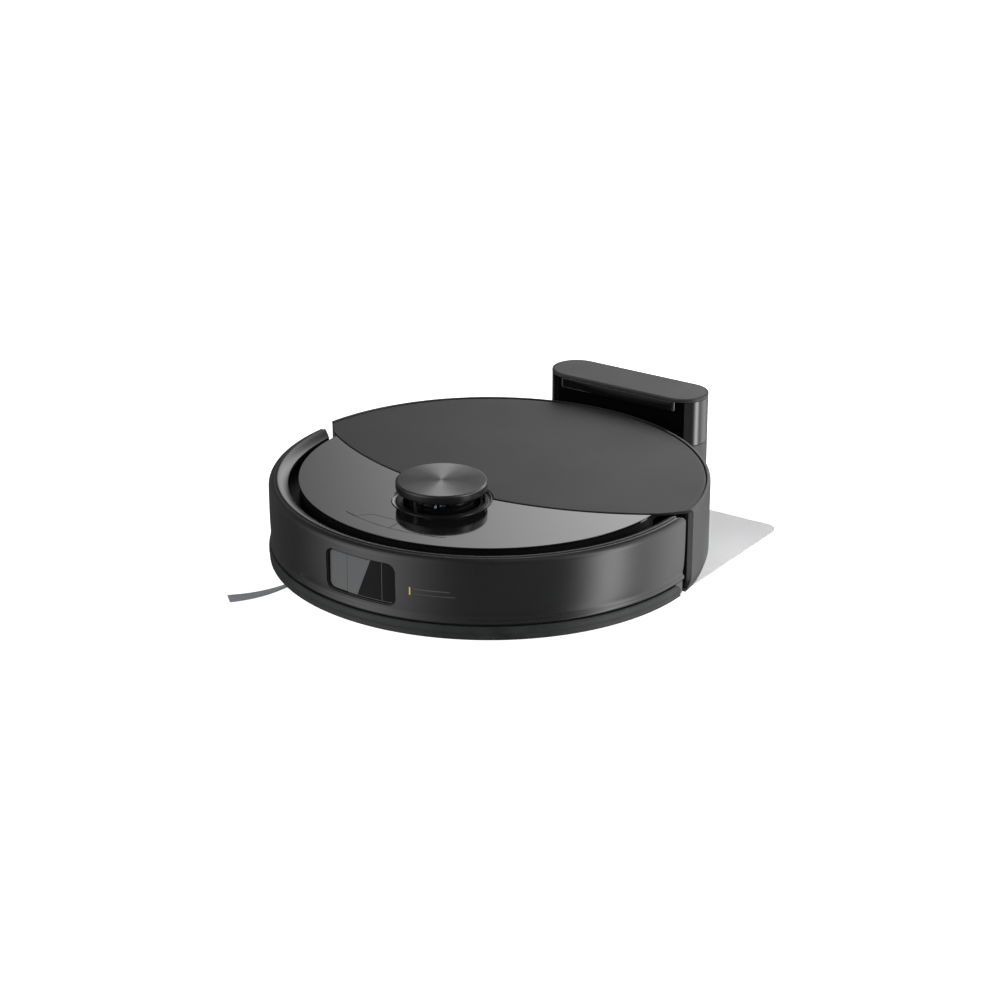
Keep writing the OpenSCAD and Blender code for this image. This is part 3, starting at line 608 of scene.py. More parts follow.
def frosted_sheet(name):
    """Floor mat: pale frosted film with a fine pebble."""
    g = Graph(name)
    pebble = g.node("ShaderNodeTexVoronoi", Scale=900.0)
    g.link(g.place, pebble.inputs["Vector"])
    cloud = g.noise(8.0, 4.0, 0.55)
    g.set(Base_Color=g.mix(g.spread(cloud, 0, 1), MAT_DARK, MAT_PALE),
          Roughness=g.spread(cloud, 0.5, 0.62), Normal=g.bump(pebble.outputs["Distance"], 0.00004),
          Specular_IOR_Level=0.3, Transmission_Weight=0.7)
    return g.material


MAT_DARK = (0.84, 0.84, 0.845)
MAT_PALE = (0.90, 0.90, 0.905)

M = {
    "bumper": moulded("bumper_satin", (0.0095, 0.0098, 0.0104), 0.28, 1500.0, 0.000004, 0.02, 0.5,
                      0.06, 0.1),
    "shell": moulded("shell_satin", (0.020, 0.0203, 0.021), 0.42, 1300.0, 0.000008, 0.03, 0.5,
                     0.06, 0.1),
    "skirt": rubber("skirt_rubber", (0.011, 0.0125, 0.0118), 0.55),
    "deck": polished("deck_gloss", (0.006, 0.006, 0.0062), 0.075, 0.62),
    "lid": moulded("lid_matte", (0.018, 0.0180, 0.0182), 0.42, 1700.0, 0.000008, 0.02, 0.22, 0.05,
                   0.08),
    "spun": spun_metal("spun_disc"),
    "moat": moulded("moat_black", (0.0025, 0.0025, 0.0027), 0.5, 900.0, 0.00001, 0.05, 0.25, 0.1,
                    0.0),
    "gloss": polished("gloss_black", (0.004, 0.004, 0.0045), 0.12, 0.5),
    "band": moulded("cap_band", (0.009, 0.009, 0.0095), 0.26, 1500.0, 0.000004, 0.03, 0.55, 0.05,
                    0.35),
    "dark": moulded("dark_plastic", (0.012, 0.012, 0.0125), 0.5, 700.0, 0.00002, 0.07, 0.45, 0.15,
                    0.3),
    "channel": moulded("channel_black", (0.003, 0.003, 0.0032), 0.55, 700.0, 0.00002, 0.06, 0.25,
                       0.1, 0.0),
    "rim": moulded("window_rim", (0.004, 0.004, 0.0042), 0.34, 1200.0, 0.000005, 0.04, 0.4, 0.1,
                   0.15),
    "window": polished("window_black", (0.003, 0.003, 0.0032), 0.05, 0.06),
    # grey panels on the window are a painted reflection of light in the glass
    "painted_reflection": polished("window_painted_reflection", (0.115, 0.117, 0.12), 0.22, 0.15),
    # pale strips on the window: a seam line and a painted highlight
    "seam_and_highlight_line": polished("window_line", (0.12, 0.12, 0.12), 0.3, 0.4),
    "gold": metal("gold_print", (0.52, 0.38, 0.14), 0.35),
    "print": moulded("pale_print", (0.065, 0.062, 0.06), 0.5, 900.0, 0.000008, 0.04, 0.3),
    "lens": coated_lens("lens_glass", (0.010, 0.012, 0.02)),
    "dot": polished("lens_dot", (0.55, 0.56, 0.58), 0.2, 0.6),
    "steel": metal("steel", (0.56, 0.57, 0.58), 0.3),
    "contact": metal("contact_metal", (0.78, 0.62, 0.34), 0.25),
    "board": circuit("board_green"),
    "cell": moulded("cell_wrap", (0.03, 0.05, 0.09), 0.3, 400.0, 0.00001),
    "bin": clear_plastic("bin_clear", (0.28, 0.29, 0.31), 0.2, 0.55),
    "filter": pleated("filter_paper"),
    "red": rubber("red_rubber", (0.26, 0.028, 0.018), 0.5),
    "hub": moulded("brush_blue", (0.06, 0.085, 0.13), 0.45, 800.0, 0.00001),
    "bristle": moulded("bristle_nylon", (0.62, 0.65, 0.70), 0.38, 2500.0, 0.00001, 0.05, 0.5, 0.12,
                       0.0,
                       Transmission_Weight=0.25),
    "wheel": moulded("wheel_grey", (0.20, 0.205, 0.21), 0.45, 600.0, 0.00002),
    "tyre": rubber("tyre_black", (0.009, 0.009, 0.0095), 0.7),
    "caster": moulded("caster_white", (0.62, 0.62, 0.61), 0.4, 600.0, 0.00001),
    "dock_matte": moulded("dock_matte", (0.030, 0.030, 0.031), 0.46, 1200.0, 0.00001, 0.03, 0.5,
                          0.06, 0.1),
    "dock_gloss": polished("dock_gloss", (0.006, 0.006, 0.0063), 0.1, 0.7),
    "dock_top": moulded("dock_top", (0.030, 0.030, 0.0305), 0.44, 1500.0, 0.00001, 0.03, 0.3, 0.06,
                        0.1),
    "foot": rubber("foot_rubber", (0.012, 0.012, 0.012), 0.75),
    "mat": frosted_sheet("mat_clear"),
}

# Finish of every CAD node that shows as it is
CAD_FINISH = {
    "chassis_base": "dark", "brush_bay": "dark", "deck_frame": "channel", "front_wall": "channel",
    "chassis_mounts": "dark", "caster_tower": "dark",
    "lidar_motor": "steel", "lidar_belt": "tyre", "main_board": "board", "battery": "cell",
    "battery_cover": "dark", "fan_housing": "dark", "brush_gearbox": "dark", "brush_cover": "dark",
    "side_brush_motor": "steel", "charge_pads": "contact", "cliff_sensors": "window",
    "fasteners": "steel", "bumper_springs": "steel", "obstacle_camera": "window",
    "dustbin": "bin", "dustbin_handle": "dark", "dustbin_filter": "filter",
    "lidar_pulley": "steel", "fan_impeller": "wheel",
    "brush_core": "dark", "wheel_arm_left": "dark", "wheel_arm_right": "dark",
    "wheel_hub_left": "wheel", "wheel_hub_right": "wheel", "tyre_left": "tyre",
    "tyre_right": "tyre",
    "caster_fork": "dark", "caster_wheel": "caster", "power_inlet": "gloss",
    "dock_contact_left": "contact", "dock_contact_right": "contact",
}
for node_name, finish in CAD_FINISH.items():
    for holder in frame["nodes"][node_name].material_slots:
        holder.material = M[finish]


# ---------------------------------------------------------------- bumper and skirt

END_SLANT = 0.68
END_ROUND = 3.0


def span(reach, columns):
    return [reach * (2 * k / columns - 1) for k in range(columns + 1)]


def bumper_end(r, z):
    """How far back the wall reaches: slanted forward from face to lip, rounded on top."""
    end = BUMPER_END_Y - END_SLANT * max(0.0, BUMPER_R - r)
    over = max(0.0, z - (BUMPER_TOP - END_ROUND)) if r > 170.4 else 0.0
    return end - END_ROUND + math.sqrt(max(END_ROUND ** 2 - over ** 2, 0))


def bumper_angles(r, z, columns=620):
    return span(math.acos(max(-1.0, min(1.0, -bumper_end(r, z) / r))), columns)


WALL = [(15.6, 175.7), (25.6, 175.7), (26.3, 175.75), (26.9, 176.15), (27.4, 176.6), (28.2, 176.8),
        (29.4, 176.8),
        (30.2, 176.55), (30.9, 176.05), (31.8, 175.65), (33.2, 175.6), (35.0, 175.85),
        (38.0, 176.2), (44.0, 176.5),
        (50.0, 176.65), (56.0, 176.75), (60.0, 176.8), (68.0, 176.8), (74.9, 176.8)]
SHOULDER_Z = BUMPER_TOP - BUMPER_CORNER


def face_r(z):
    """Radius of the bumper's outer face at a height."""
    if z >= SHOULDER_Z:
        drop = math.sqrt(max(0.0, BUMPER_CORNER ** 2 - (z - SHOULDER_Z) ** 2))
        return BUMPER_R - BUMPER_CORNER + drop
    return next((r0 + (r1 - r0) * (z - z0) / (z1 - z0) for (z0, r0),
                 (z1, r1) in zip(WALL, WALL[1:])
                 if z0 <= z <= z1), WALL[0][1])


def bumper_profile():
    """Paired outer and inner chains, from the foot over the shoulder and slope to the lip."""
    outer = [(r, z) for z, r in WALL]
    inner = [(174.1, z) for r, z in outer]
    mid_r = BUMPER_R - BUMPER_CORNER
    for k in range(1, 19):
        t = math.radians(5 * k)
        outer.append((mid_r + BUMPER_CORNER * math.cos(t),
                      SHOULDER_Z + BUMPER_CORNER * math.sin(t)))
        inner.append((mid_r + 2.3 * math.cos(t), SHOULDER_Z + 2.3 * math.sin(t)))
    crest = [(171.6, 79.76), (171.25, 79.8), (170.9, 79.93), (170.55, 80.12), (170.2, 80.27),
             (169.8, 80.33),
             (169.4, 80.3)]
    outer += crest
    inner += [(r, 77.45) for r, z in crest]
    for k in range(1, 15):
        t = math.radians(8.0 + 32.0 * k / 14)
        outer.append((outer[-1][0] - 0.64 * math.cos(t), outer[-1][1] - 0.64 * math.sin(t)))
        inner.append((outer[-1][0] + 1.2 * math.sin(t), max(73.4, outer[-1][1] - 2.4)))
    r, z = outer[-1]
    outer += [(r - 0.3, z - 0.3), (r - 0.45, z - 0.7), (r - 0.45, z - 1.3)]
    inner += [(r + 0.5, 73.4), (r + 0.2, 73.4), (r - 0.1, 73.5)]
    return outer, inner


outer, inner = bumper_profile()
opening = wrap_frame([(0, lambda z: 165), (0, lambda z: 184)], WINDOW_W, WINDOW_H, 7.0, WINDOW_Z)
side = len(opening[0]) // 2
opening = (opening[0], opening[1][:side] + [tuple(range(side)), tuple(range(side, 2 * side))])
hole = solid("window_cut", *opening)
piece("bumper_shell_skin", sweep(outer, inner, bumper_angles), "bumper", M["bumper"],
      "bumper_shell", bevel=0.35, cutters=[hole], sharp=40)
plungers = [block(s * 104 - 3.5, s * 104 + 3.5, -136.0, -130, 37, 43) for s in (-1, 1)]
piece("bumper_plungers", merge(*plungers), "bumper", M["dark"], bevel=0.5)


def skirt_angles(r, z, columns=420):
    # the skirt's rear ends are rounded: its upper part stops a little earlier
    over = max(0.0, z - 18.0)
    y = 4.0 - 8.0 * (1 - math.sqrt(max(0.0, 1 - (over / 8.2) ** 2)))
    return span(math.acos(-y / r), columns)


skirt_outer = [(176.0, 15.0), (177.1, 15.0), (177.5, 15.2), (177.6, 15.7), (177.5, 17.2),
               (177.45, 18.6),
               (177.55, 19.6), (177.85, 20.3), (178.0, 21.0), (177.98, 22.8), (177.85, 24.0),
               (177.5, 25.0),
               (176.95, 25.7), (176.4, 25.95)]
skirt_inner = [(175.82, z if z < 25.6 else 25.6) for r, z in skirt_outer]
piece("bumper_skirt_strip", sweep(skirt_outer, skirt_inner, skirt_angles), "bumper", M["skirt"],
      "bumper_skirt", bevel=0.25, sharp=40)


# ---------------------------------------------------------------- sensor window

def below_face(depth):
    return lambda z: face_r(z) - depth


def at_radius(r):
    return lambda z: min(r, face_r(z) - 1.2)


RIM = [(0.12, at_radius(170.7)), (0.12, below_face(1.3)), (0.2, below_face(0.85)),
       (0.45, below_face(0.6)),
       (0.8, below_face(0.8)), (1.15, below_face(1.3)), (1.42, at_radius(174.2)),
       (1.5, at_radius(173.8)),
       (1.5, at_radius(170.7))]
piece("window_rim", wrap_frame(RIM, WINDOW_W, WINDOW_H, 7.0, WINDOW_Z), "bumper", M["rim"],
      "window_frame", sharp=50)


def glass_half(u, w=62.0, h=32.0, r=5.5):
    over = abs(u) - (w / 2 - r)
    if over <= 0:
        return h / 2
    return h / 2 - r + math.sqrt(max(r * r - over * over, 0))


def glass_low(u):
    return WINDOW_Z - glass_half(u)


def glass_high(u):
    return WINDOW_Z + glass_half(u)


def reflection_edge(u):
    """Height of the diagonal edge where the grey painted reflection on the window ends."""
    return WINDOW_Z - 16.0 + 32.0 * (u + 3.3) / 12.9


piece("window_pane", wrap_panel(-30.9, 30.9, glass_low, glass_high, 172.3, 173.7, 60), "bumper",
      M["window"], "window_glass", sharp=30)


def reflection_low(u):
    return glass_low(u) + 0.5


def reflection_high(u):
    return glass_high(u) - 0.4


# Grey panels laid on the window's face: a painted reflection, the light mirrored in the glass,
# ending in a diagonal edge.
painted_reflection_panels = [wrap_panel(u0, u1, low, reflection_high, 173.7, 173.82, columns)
         for u0, u1, low, columns in ((-30.6, -13.0, reflection_low, 24), (-12.7, -3.3, reflection_low, 12),
                                      (-3.3, 9.4, lambda u: max(reflection_low(u), reflection_edge(u)), 24))]
piece("window_painted_reflection", merge(*painted_reflection_panels), "bumper", M["painted_reflection"], sharp=30)
# Two pale strips on the pane: the short upright one at u 19.1 is a seam; the long one along the
# lower edge is a painted highlight where the frame's ledge catches light.
lines = [
    wrap_panel(19.1, 19.35, lambda u: glass_low(u) + 0.3, lambda u: glass_high(u) - 0.3, 173.7,
               173.8, 1),
    wrap_panel(-12.0, 28.0, lambda u: glass_low(u) + 0.15, lambda u: glass_low(u) + 0.42, 173.7,
               173.84, 40),
]
piece("window_seam_and_painted_highlight", merge(*lines), "bumper", M["seam_and_highlight_line"], sharp=30)
ribs = []
for k in range(20):
    u = -27.0 + 1.7 * k
    ribs.append(wrap_panel(u, u + 0.8, lambda x: WINDOW_Z + 15.3, lambda x: WINDOW_Z + 16.4, 173.6,
                           174.3, 1))
piece("window_ribs", merge(*ribs), "bumper", M["band"], sharp=30)


def marks(rows, r):
    out = []
    for az, width, z, height in rows:
        u0 = BUMPER_R * math.sin(math.radians(az))
        half = width / 2 * math.cos(math.radians(az)) * 3.06
        out.append(wrap_panel(u0 - half, u0 + half, lambda u, z=z, h=height: z - h / 2,
                              lambda u, z=z, h=height: z + h / 2, r - 0.5, r,
                              max(2, int(width * 2))))
    return merge(*out)


piece("accent_tick", marks([(14.4, 0.36, 50.9, 6.4)], 176.75), "bumper", M["gold"],
      "accent_marks")
piece("accent_lines", marks([(19.9, 9.2, 52.9, 0.8), (20.6, 10.4, 48.9, 0.5)], 176.73), "bumper",
      M["print"])


# ---------------------------------------------------------------- rear shell

def shell_angles(r, z, columns=620):
    # the wall's front ends are rounded from the inside face to the outside
    round_off = 4.0 * (1 - math.sqrt(max(0.0, 1 - (max(0.0, r - 174.3) / 3.02) ** 2)))
    reach = math.acos(-(SHELL_FRONT_Y + round_off) / r)
    return [reach + (2 * math.pi - 2 * reach) * k / columns for k in range(columns + 1)]


shell_outer = [(174.5, 13.0), (174.8, 13.6), (175.2, 14.8), (175.8, 16.6), (176.5, 18.6),
               (177.05, 20.6),
               (177.28, 22.6), (177.3, 30.0),
               (177.3, 50.0), (177.3, 70.0), (177.3, 78.4), (177.25, 79.3), (177.05, 80.1),
               (176.65, 80.7), (176.1, 81.0), (175.3, 81.1), (174.6, 81.05)]
shell_inner = [(174.3, min(max(z, 13.0), 80.7)) for r, z in shell_outer]
shell_verts, shell_faces = sweep(shell_outer, shell_inner, shell_angles)
relieved = []
for x, y, z in shell_verts:
    r = math.hypot(x, y)
    if z > 72.0 and abs(x) < 69.0 and y > 100.0 and r < 175.6:
        x, y = x * 175.6 / r, y * 175.6 / r
    relieved.append((x, y, z))
piece("rear_shell_skin", (relieved, shell_faces), "robot", M["shell"], "rear_shell",
      bevel=0.45, segments=3, sharp=40)
posts = [slab(fillet([(s * 169.2, 20.1, 1.2), (s * 173.2, 20.0, 0.5), (s * 173.2, 22.6, 0.5),
                      (s * 169.2, 22.6, 0.5)][::s], 5), 15.1, 79.9, 0.4, 0.4) for s in (-1, 1)]
piece("shell_end_posts", merge(*posts), "robot", M["shell"], sharp=45)
walls = [slab(fillet([(s * 153.9, 20.05, 0.3), (s * 169.0, 20.05, 0.3), (s * 169.0, 21.85, 0.3),
                      (s * 153.9, 21.85, 0.3)][::s], 3), 15.1, 77.7, 0.3, 0.3) for s in (-1, 1)]
piece("channel_ends", merge(*walls), "robot", M["channel"], sharp=45)


# ---------------------------------------------------------------- lid

def lid_loop(d_outer, d_seam, d_notch):
    """Round the back, along the flanks over the channel, then the seam and the notch."""
    ro, rs, rf, rn = LID_R - d_outer, SEAM_R - d_seam, FLANK_R - d_seam, RING_R + 0.8 + d_notch
    corner = meet(0, ro, FLANK_Y, rf)
    bend = meet(FLANK_Y, rf, SEAM_Y, rs)
    notch = meet(LIDAR_Y, rn, SEAM_Y, rs)
    a = angle_about(corner, 0)
    f0, f1 = angle_about(corner, FLANK_Y), angle_about(bend, FLANK_Y)
    s0, s1 = angle_about(bend, SEAM_Y), angle_about(notch, SEAM_Y)
    n0 = angle_about(notch, LIDAR_Y)
    cut_a, cut_f = 1.8 / ro, 1.8 / rf
    right = arc(0, SEAM_Y, rs, s1, s0, 90)[:-1] + arc(0, FLANK_Y, rf, f1, f0 - cut_f, 30)
    knee = [(ro * math.cos(a + cut_a), ro * math.sin(a + cut_a))]
    p0, p1, p2 = Vector(right[-1]), corner, Vector(knee[0])
    right += [tuple(p0 * (1 - t) ** 2 + p1 * 2 * t * (1 - t) + p2 * t * t)
              for t in [k / 8 for k in range(1, 8)]]
    loop = arc(0, 0, ro, a + cut_a, math.pi - a - cut_a, 420)
    loop += [(-x, y) for x, y in reversed(right)]
    loop += arc(0, LIDAR_Y, rn, math.pi - n0, n0, 70)[1:-1]
    loop += right
    return loop


LID_LEVELS = [(0.5, 0.3, 0.3, 78.2), (0.1, 0.05, 0.05, 78.35), (0, 0, 0, 78.6), (0, 0, 0, 79.4),
              (0.12, 0, 0, 79.8), (0.4, 0, 0, 80.1), (0.8, 0.02, 0.02, 80.3),
              (1.3, 0.1, 0.1, 80.42), (2.0, 0.25, 0.25, 80.48), (2.8, 0.5, 0.5, LID_TOP)]
lid_shape = loft([(lid_loop(a, b, c), z) for a, b, c, z in LID_LEVELS])
pockets = [solid("pocket", *block(s * HINGE_X - 6.6, s * HINGE_X + 6.6, 150, HINGE_Y + 3.4, 70,
                                  79.9)) for s in (-1, 1)]
piece("lid_panel", lid_shape, "lid", M["lid"], "lid", cutters=pockets, sharp=40)
knuckles = []
for s in (-1, 1):
    for e in (-1, 1):
        x = s * HINGE_X + e * KNUCKLE_X
        v, f = lathe([(1.6, -2), (1.6, 2), (0.66, 2), (0.66, -2)], seg=36)
        knuckles.append(([(z + x, HINGE_Y + a, HINGE_Z + b) for a, b, z in v], f))
piece("lid_knuckles", merge(*knuckles), "lid", M["dark"], bevel=0.15)


# ---------------------------------------------------------------- deck and its buttons

BUTTON_ARC = 136.7
BUTTON_TIP = Vector((20.8, -135.4))
BUTTON_ROUND = 14
LINE_END_X = 47.0


def crossing(r1, r2):
    """Where a circle of r1 about BUTTON_TIP meets one of r2 about the robot's axis."""
    d = BUTTON_TIP.length
    along = (d * d + r2 * r2 - r1 * r1) / (2 * d)
    axis = BUTTON_TIP / d
    return axis * along + Vector((-axis.y, axis.x)) * math.sqrt(max(r2 * r2 - along * along, 0))


def button_loop(g, slot=0.2):
    """Right button grown by g: front arc, round corner, rear line."""
    tip_c, r1, r2 = BUTTON_TIP, BUTTON_ROUND + g, BUTTON_ARC + g
    tip = crossing(r1, r2)
    a1 = math.atan2(tip.y - tip_c.y, tip.x - tip_c.x)
    x0 = slot - g
    start = math.atan2(tip.y, tip.x)
    end = -math.acos(x0 / r2)
    loop = arc(0, 0, r2, end, start, 40)[:-1]
    loop += arc(tip_c.x, tip_c.y, r1, a1, math.pi / 2, 24)
    loop += [(x0 + (tip_c.x - x0) * k / 8, tip_c.y + r1) for k in range(7, -1, -1)]
    return loop


def deck_hole(g):
    """Clockwise outline of the opening for the buttons, with the fine line past its tips."""
    tip_c, r1 = BUTTON_TIP, BUTTON_ROUND + g
    outer_r, inner_r = BUTTON_ARC + g, BUTTON_ARC - g
    meet_in = crossing(r1, inner_r)
    a1 = math.atan2(meet_in.y - tip_c.y, meet_in.x - tip_c.x)
    end = -math.acos((LINE_END_X + g) / BUTTON_ARC)
    right = [(tip_c.x * k / 8, tip_c.y + r1) for k in range(1, 8)]
    right += arc(tip_c.x, tip_c.y, r1, math.pi / 2, a1, 24)
    right += arc(0, 0, inner_r, math.atan2(meet_in.y, meet_in.x), end, 24)[1:]
    right += arc(0, 0, outer_r, end, -math.pi / 2, 80)[:-1]
    left = [(-x, y) for x, y in reversed(right)]
    return [(0.0, tip_c.y + r1)] + right + [(0.0, -outer_r)] + left


def deck_loop(d):
    rd, rs, rn = DECK_R - d, SEAM_R + 0.5 + d, RING_R + 0.1 + d
    corner = meet(0, rd, SEAM_Y, rs)
    notch = meet(LIDAR_Y, rn, SEAM_Y, rs)
    a = angle_about(corner, 0)
    s0, s1 = angle_about(corner, SEAM_Y), angle_about(notch, SEAM_Y)
    n0 = angle_about(notch, LIDAR_Y)
    loop = arc(0, 0, rd, -math.pi - a, a, 420)[:-1]
    loop += arc(0, SEAM_Y, rs, s0, s1, 90)[:-1]
    loop += arc(0, LIDAR_Y, rn, n0, -math.pi - n0, 90)[:-1]
    loop += arc(0, SEAM_Y, rs, -math.pi - s1, -math.pi - s0, 90)[:-1]
    return loop


levels = round_edge(77.85, 0.2, False, 2) + round_edge(DECK_TOP, 0.35, True, 5)
deck_stack = [(deck_loop(d), z) for d, z in levels]
hole_levels = round_edge(77.85, 0.1, False, 2) + round_edge(DECK_TOP, 0.12, True, 3)
hole_stack = [(deck_hole(0.3 + d), z) for d, z in hole_levels]
piece("deck_plate", loft(deck_stack, holes=[hole_stack]), "robot", M["deck"],
      "deck_panel",
      sharp=45)


def button(side):
    rows = round_edge(78.4, 0.1, False, 2) + round_edge(DECK_TOP, 0.15, True, 3)
    shape = loft([(button_loop(-d), z) for d, z in rows])
    shape = merge(shape, rod("z", 2.9, 68.0, 78.5, 16, -129))
    return shape if side > 0 else mirrored(shape)


piece("power_key", button(-1), "power_button", M["deck"], "power_button", sharp=45)
piece("dock_key", button(1), "dock_button", M["deck"], "dock_button", sharp=45)


# ---------------------------------------------------------------- lidar turret

ring_profile = fillet([(36.3, 77.8, 0), (39.6, 77.8, 0), (39.6, 80.4, 0.3), (38.9, 80.4, 0.3),
                       (38.6, 78.5, 0.3), (36.9, 78.3, 0.3), (36.6, 78.6, 0.1), (36.3, 78.6, 0.1)],
                       4)
piece("lidar_ring_trim", lathe(ring_profile, 0, LIDAR_Y, 200), "robot", M["gloss"],
      "lidar_ring", sharp=50)

base_profile = fillet([(4.3, 60.0, 0), (36.2, 60.0, 0.3), (36.2, 78.2, 0), (36.0, 78.9, 0.4),
                       (34.9, 79.5, 0.4), (32.2, 79.5, 0.4), (30.4, 78.4, 0.5), (30.2, 66.0, 0),
                       (29.8, 63.0, 1.0), (4.3, 63.0, 0)], 4)
sockets = []
for a in map(math.radians, POST_ANGLES):
    cx, cy = POST_R * math.cos(a), LIDAR_Y + POST_R * math.sin(a)
    sockets.append(solid("socket", *rod("z", 1.6, 64.0, 84.0, cx, cy, 20)))
piece("lidar_collar", lathe(base_profile, 0, LIDAR_Y, 200), "robot", M["moat"],
      "lidar_base", cutters=sockets, sharp=45)

cap_profile = [(0, CAP_TOP), (10.0, CAP_TOP), (20.0, CAP_TOP), (30.0, CAP_TOP), (34.6, CAP_TOP),
               (34.9, 96.48),
               (35.1, 96.4), (35.9, 95.55), (36.08, 95.3), (36.2, 94.9), (36.2, 92.6),
               (36.2, 91.0),
               (36.05, 90.0), (35.7, 89.3), (35.2, 88.95), (34.5, 88.9), (32.2, 88.9),
               (31.8, 89.2),
               (31.6, 90.5), (20.0, 90.5), (0, 90.5)]
cap = piece("lidar_cap_disc", lathe(cap_profile, 0, LIDAR_Y, 220, closed=False), "lidar_cap",
            M["spun"],
            "lidar_cap", sharp=40)
cap.data.materials.append(M["band"])
for face in cap.data.polygons:
    if face.center.z < 96.44 * MM:
        face.material_index = 1


def post(angle, seg=20):
    """Slim post that flares where it runs into the cap, as the sides of an arch do."""
    a = math.radians(angle)
    heights = [66.0, 70.0, 79.5, 81.5, 84.0, 86.0, 87.2, 87.9, 88.4, 88.75, 89.0]
    grow = [0, 0, 0, 0, 0.05, 0.25, 0.65, 1.15, 1.75, 2.5, 3.4]
    rings = []
    for z, g in zip(heights, grow):
        ring = []
        for k in range(seg):
            t = 2 * math.pi * k / seg
            radial = POST_R + 1.3 * math.cos(t)
            tangent = (1.35 + g) * math.sin(t)
            ring.append((radial * math.cos(a) - tangent * math.sin(a),
                         LIDAR_Y + radial * math.sin(a) + tangent * math.cos(a), z))
        rings.append(ring)
    return tube(rings)


piece("lidar_posts", merge(*map(post, POST_ANGLES)), "lidar_cap", M["band"],
      sharp=50)


def facing(shape, turn):
    """Turns a shape made along +Z so that it looks out of the turret."""
    t = math.radians(turn)
    return [(x * math.cos(t) + z * math.sin(t), LIDAR_Y + x * math.sin(t) - z * math.cos(t),
             EYE_Z + y) for x, y, z in shape[0]], shape[1]


rotor_profile = [(3.9, 55.0), (3.9, 65.0), (27.9, 65.0), (28.5, 65.6), (28.5, 78.0), (28.5, 80.0),
                 (28.5, 87.0), (28.3, 87.4), (27.9, 87.6), (14.0, 87.6), (0.0, 87.6)]
rotor_cut = []
for turn, half in zip(EYE_TURNS, (7.0, 7.4, 7.0)):
    slot = rounded_rect(2 * half, 7.2, 3.55, 8)
    rotor_cut.append(solid("lens_cut", *facing(loft([(slot, 23.6), (slot, 34.0)]), turn)))
rotor_body = lathe([(0.0, 55.0)] + rotor_profile, 0, LIDAR_Y, 200, closed=False)
piece("lidar_turret", rotor_body, "lidar_rotor", M["gloss"], "lidar_rotor",
      bevel=0.2,
      cutters=rotor_cut, sharp=40)
drive = merge(lathe([(13.9, 56.4), (13.9, 58.6), (4.0, 58.6), (4.0, 56.4)], 0, LIDAR_Y, 72),
              lathe([(14.9, 55.2), (14.9, 56.3), (4.0, 56.3), (4.0, 55.2)], 0, LIDAR_Y, 72))
piece("lidar_drive_wheel", drive, "lidar_rotor", M["dark"], bevel=0.2)


lens_profile = [(0, 25.6), (1.0, 25.55), (1.8, 25.3), (2.4, 24.9), (2.7, 24.4), (2.9, 24.4),
                (3.0, 24.7),
                (3.2, 24.7), (3.25, 23.7), (0, 23.7)]
eyes = [facing(lathe(lens_profile, offset, 0, 48, closed=False), turn)
        for turn, offset in zip(EYE_TURNS, (1.2, 0.0, 0.0))]
piece("lidar_eyes", merge(*eyes), "lidar_rotor", M["lens"], sharp=50)
emitter = lathe([(0, 26.2), (0.7, 26.1), (1.15, 25.7), (1.3, 25.0), (1.3, 23.7), (0, 23.7)],
                -4.6, 0, 32, closed=False)
piece("lidar_emitter", facing(emitter, EYE_TURNS[0]), "lidar_rotor", M["dot"], sharp=50)


# ---------------------------------------------------------------- brushes

HUB = Vector((-85.2, -125.9))
hub_profile = fillet([(0, 12.0, 0), (2.4, 12.0, 0), (2.4, 11.4, 0), (12.4, 11.4, 0.4),
                      (12.5, 9.4, 0.5),
                      (10.8, 7.8, 0.7), (6.0, 7.6, 0.5), (5.2, 8.6, 0.3), (0, 8.6, 0)], 4)
arms = []
for k in range(3):
    a = math.radians(BUNDLE_ANGLE + 120 * k)
    outline = [(8.0, -4.2), (15.5, -3.4), (19.0, -3.0), (20.2, -2.0), (20.2, 2.0), (19.0, 3.0),
               (15.5, 3.4), (8.0, 4.2)]
    turned = [(HUB.x + x * math.cos(a) - y * math.sin(a),
               HUB.y + x * math.sin(a) + y * math.cos(a))
              for x, y in outline]
    arms.append(slab(turned, 7.3, 10.9, 0.8, 0.6))
spindle = rod("z", 2.4, 11.9, 31.9, HUB.x, HUB.y)
piece("side_brush_star", merge(lathe(hub_profile[:-1], HUB.x, HUB.y, 80, closed=False), spindle,
                               *arms),
      "side_brush", M["hub"], "side_brush_hub", sharp=40)


def fibre(direction, lane, layer, length, seg=4, steps=9):
    """One bristle, thin and slightly drooping, lane from -1 to 1 across the bundle."""
    a = math.radians(direction)
    rings = []
    for k in range(steps + 1):
        t = k / steps
        along = 18.0 + (length - 18.0) * t
        across = lane * (2.2 + 5.4 * t ** 0.75)
        height = 1.9 + 7.0 * (1 - t) ** 2.4 + layer * (0.5 - 0.3 * t)
        circle = arc(across, height, 0.19 - 0.05 * t, 0, 2 * math.pi, seg)[:-1]
        rings.append([(HUB.x + along * math.cos(a) - p * math.sin(a),
                       HUB.y + along * math.sin(a) + p * math.cos(a), q) for p, q in circle])
    return tube(rings)


def wobble(n):
    """Repeatable number from -1 to 1 for the nth thing."""
    return math.sin(n * 12.9898) * math.cos(n * 4.1414)


FIBRES = 84
bundles = []
for k in range(3):
    for i in range(FIBRES):
        lane = (i + 0.5) / FIBRES * 2 - 1
        bundles.append(fibre(BUNDLE_ANGLE + 120 * k, lane, wobble(i + 100 * k),
                             66.2 + 0.7 * wobble(3 * i + k)))
piece("side_brush_hairs", merge(*bundles), "side_brush", M["bristle"],
      "side_brush_bristles",
      sharp=60)

BRUSH_Y, BRUSH_Z = -32.0, 21.5


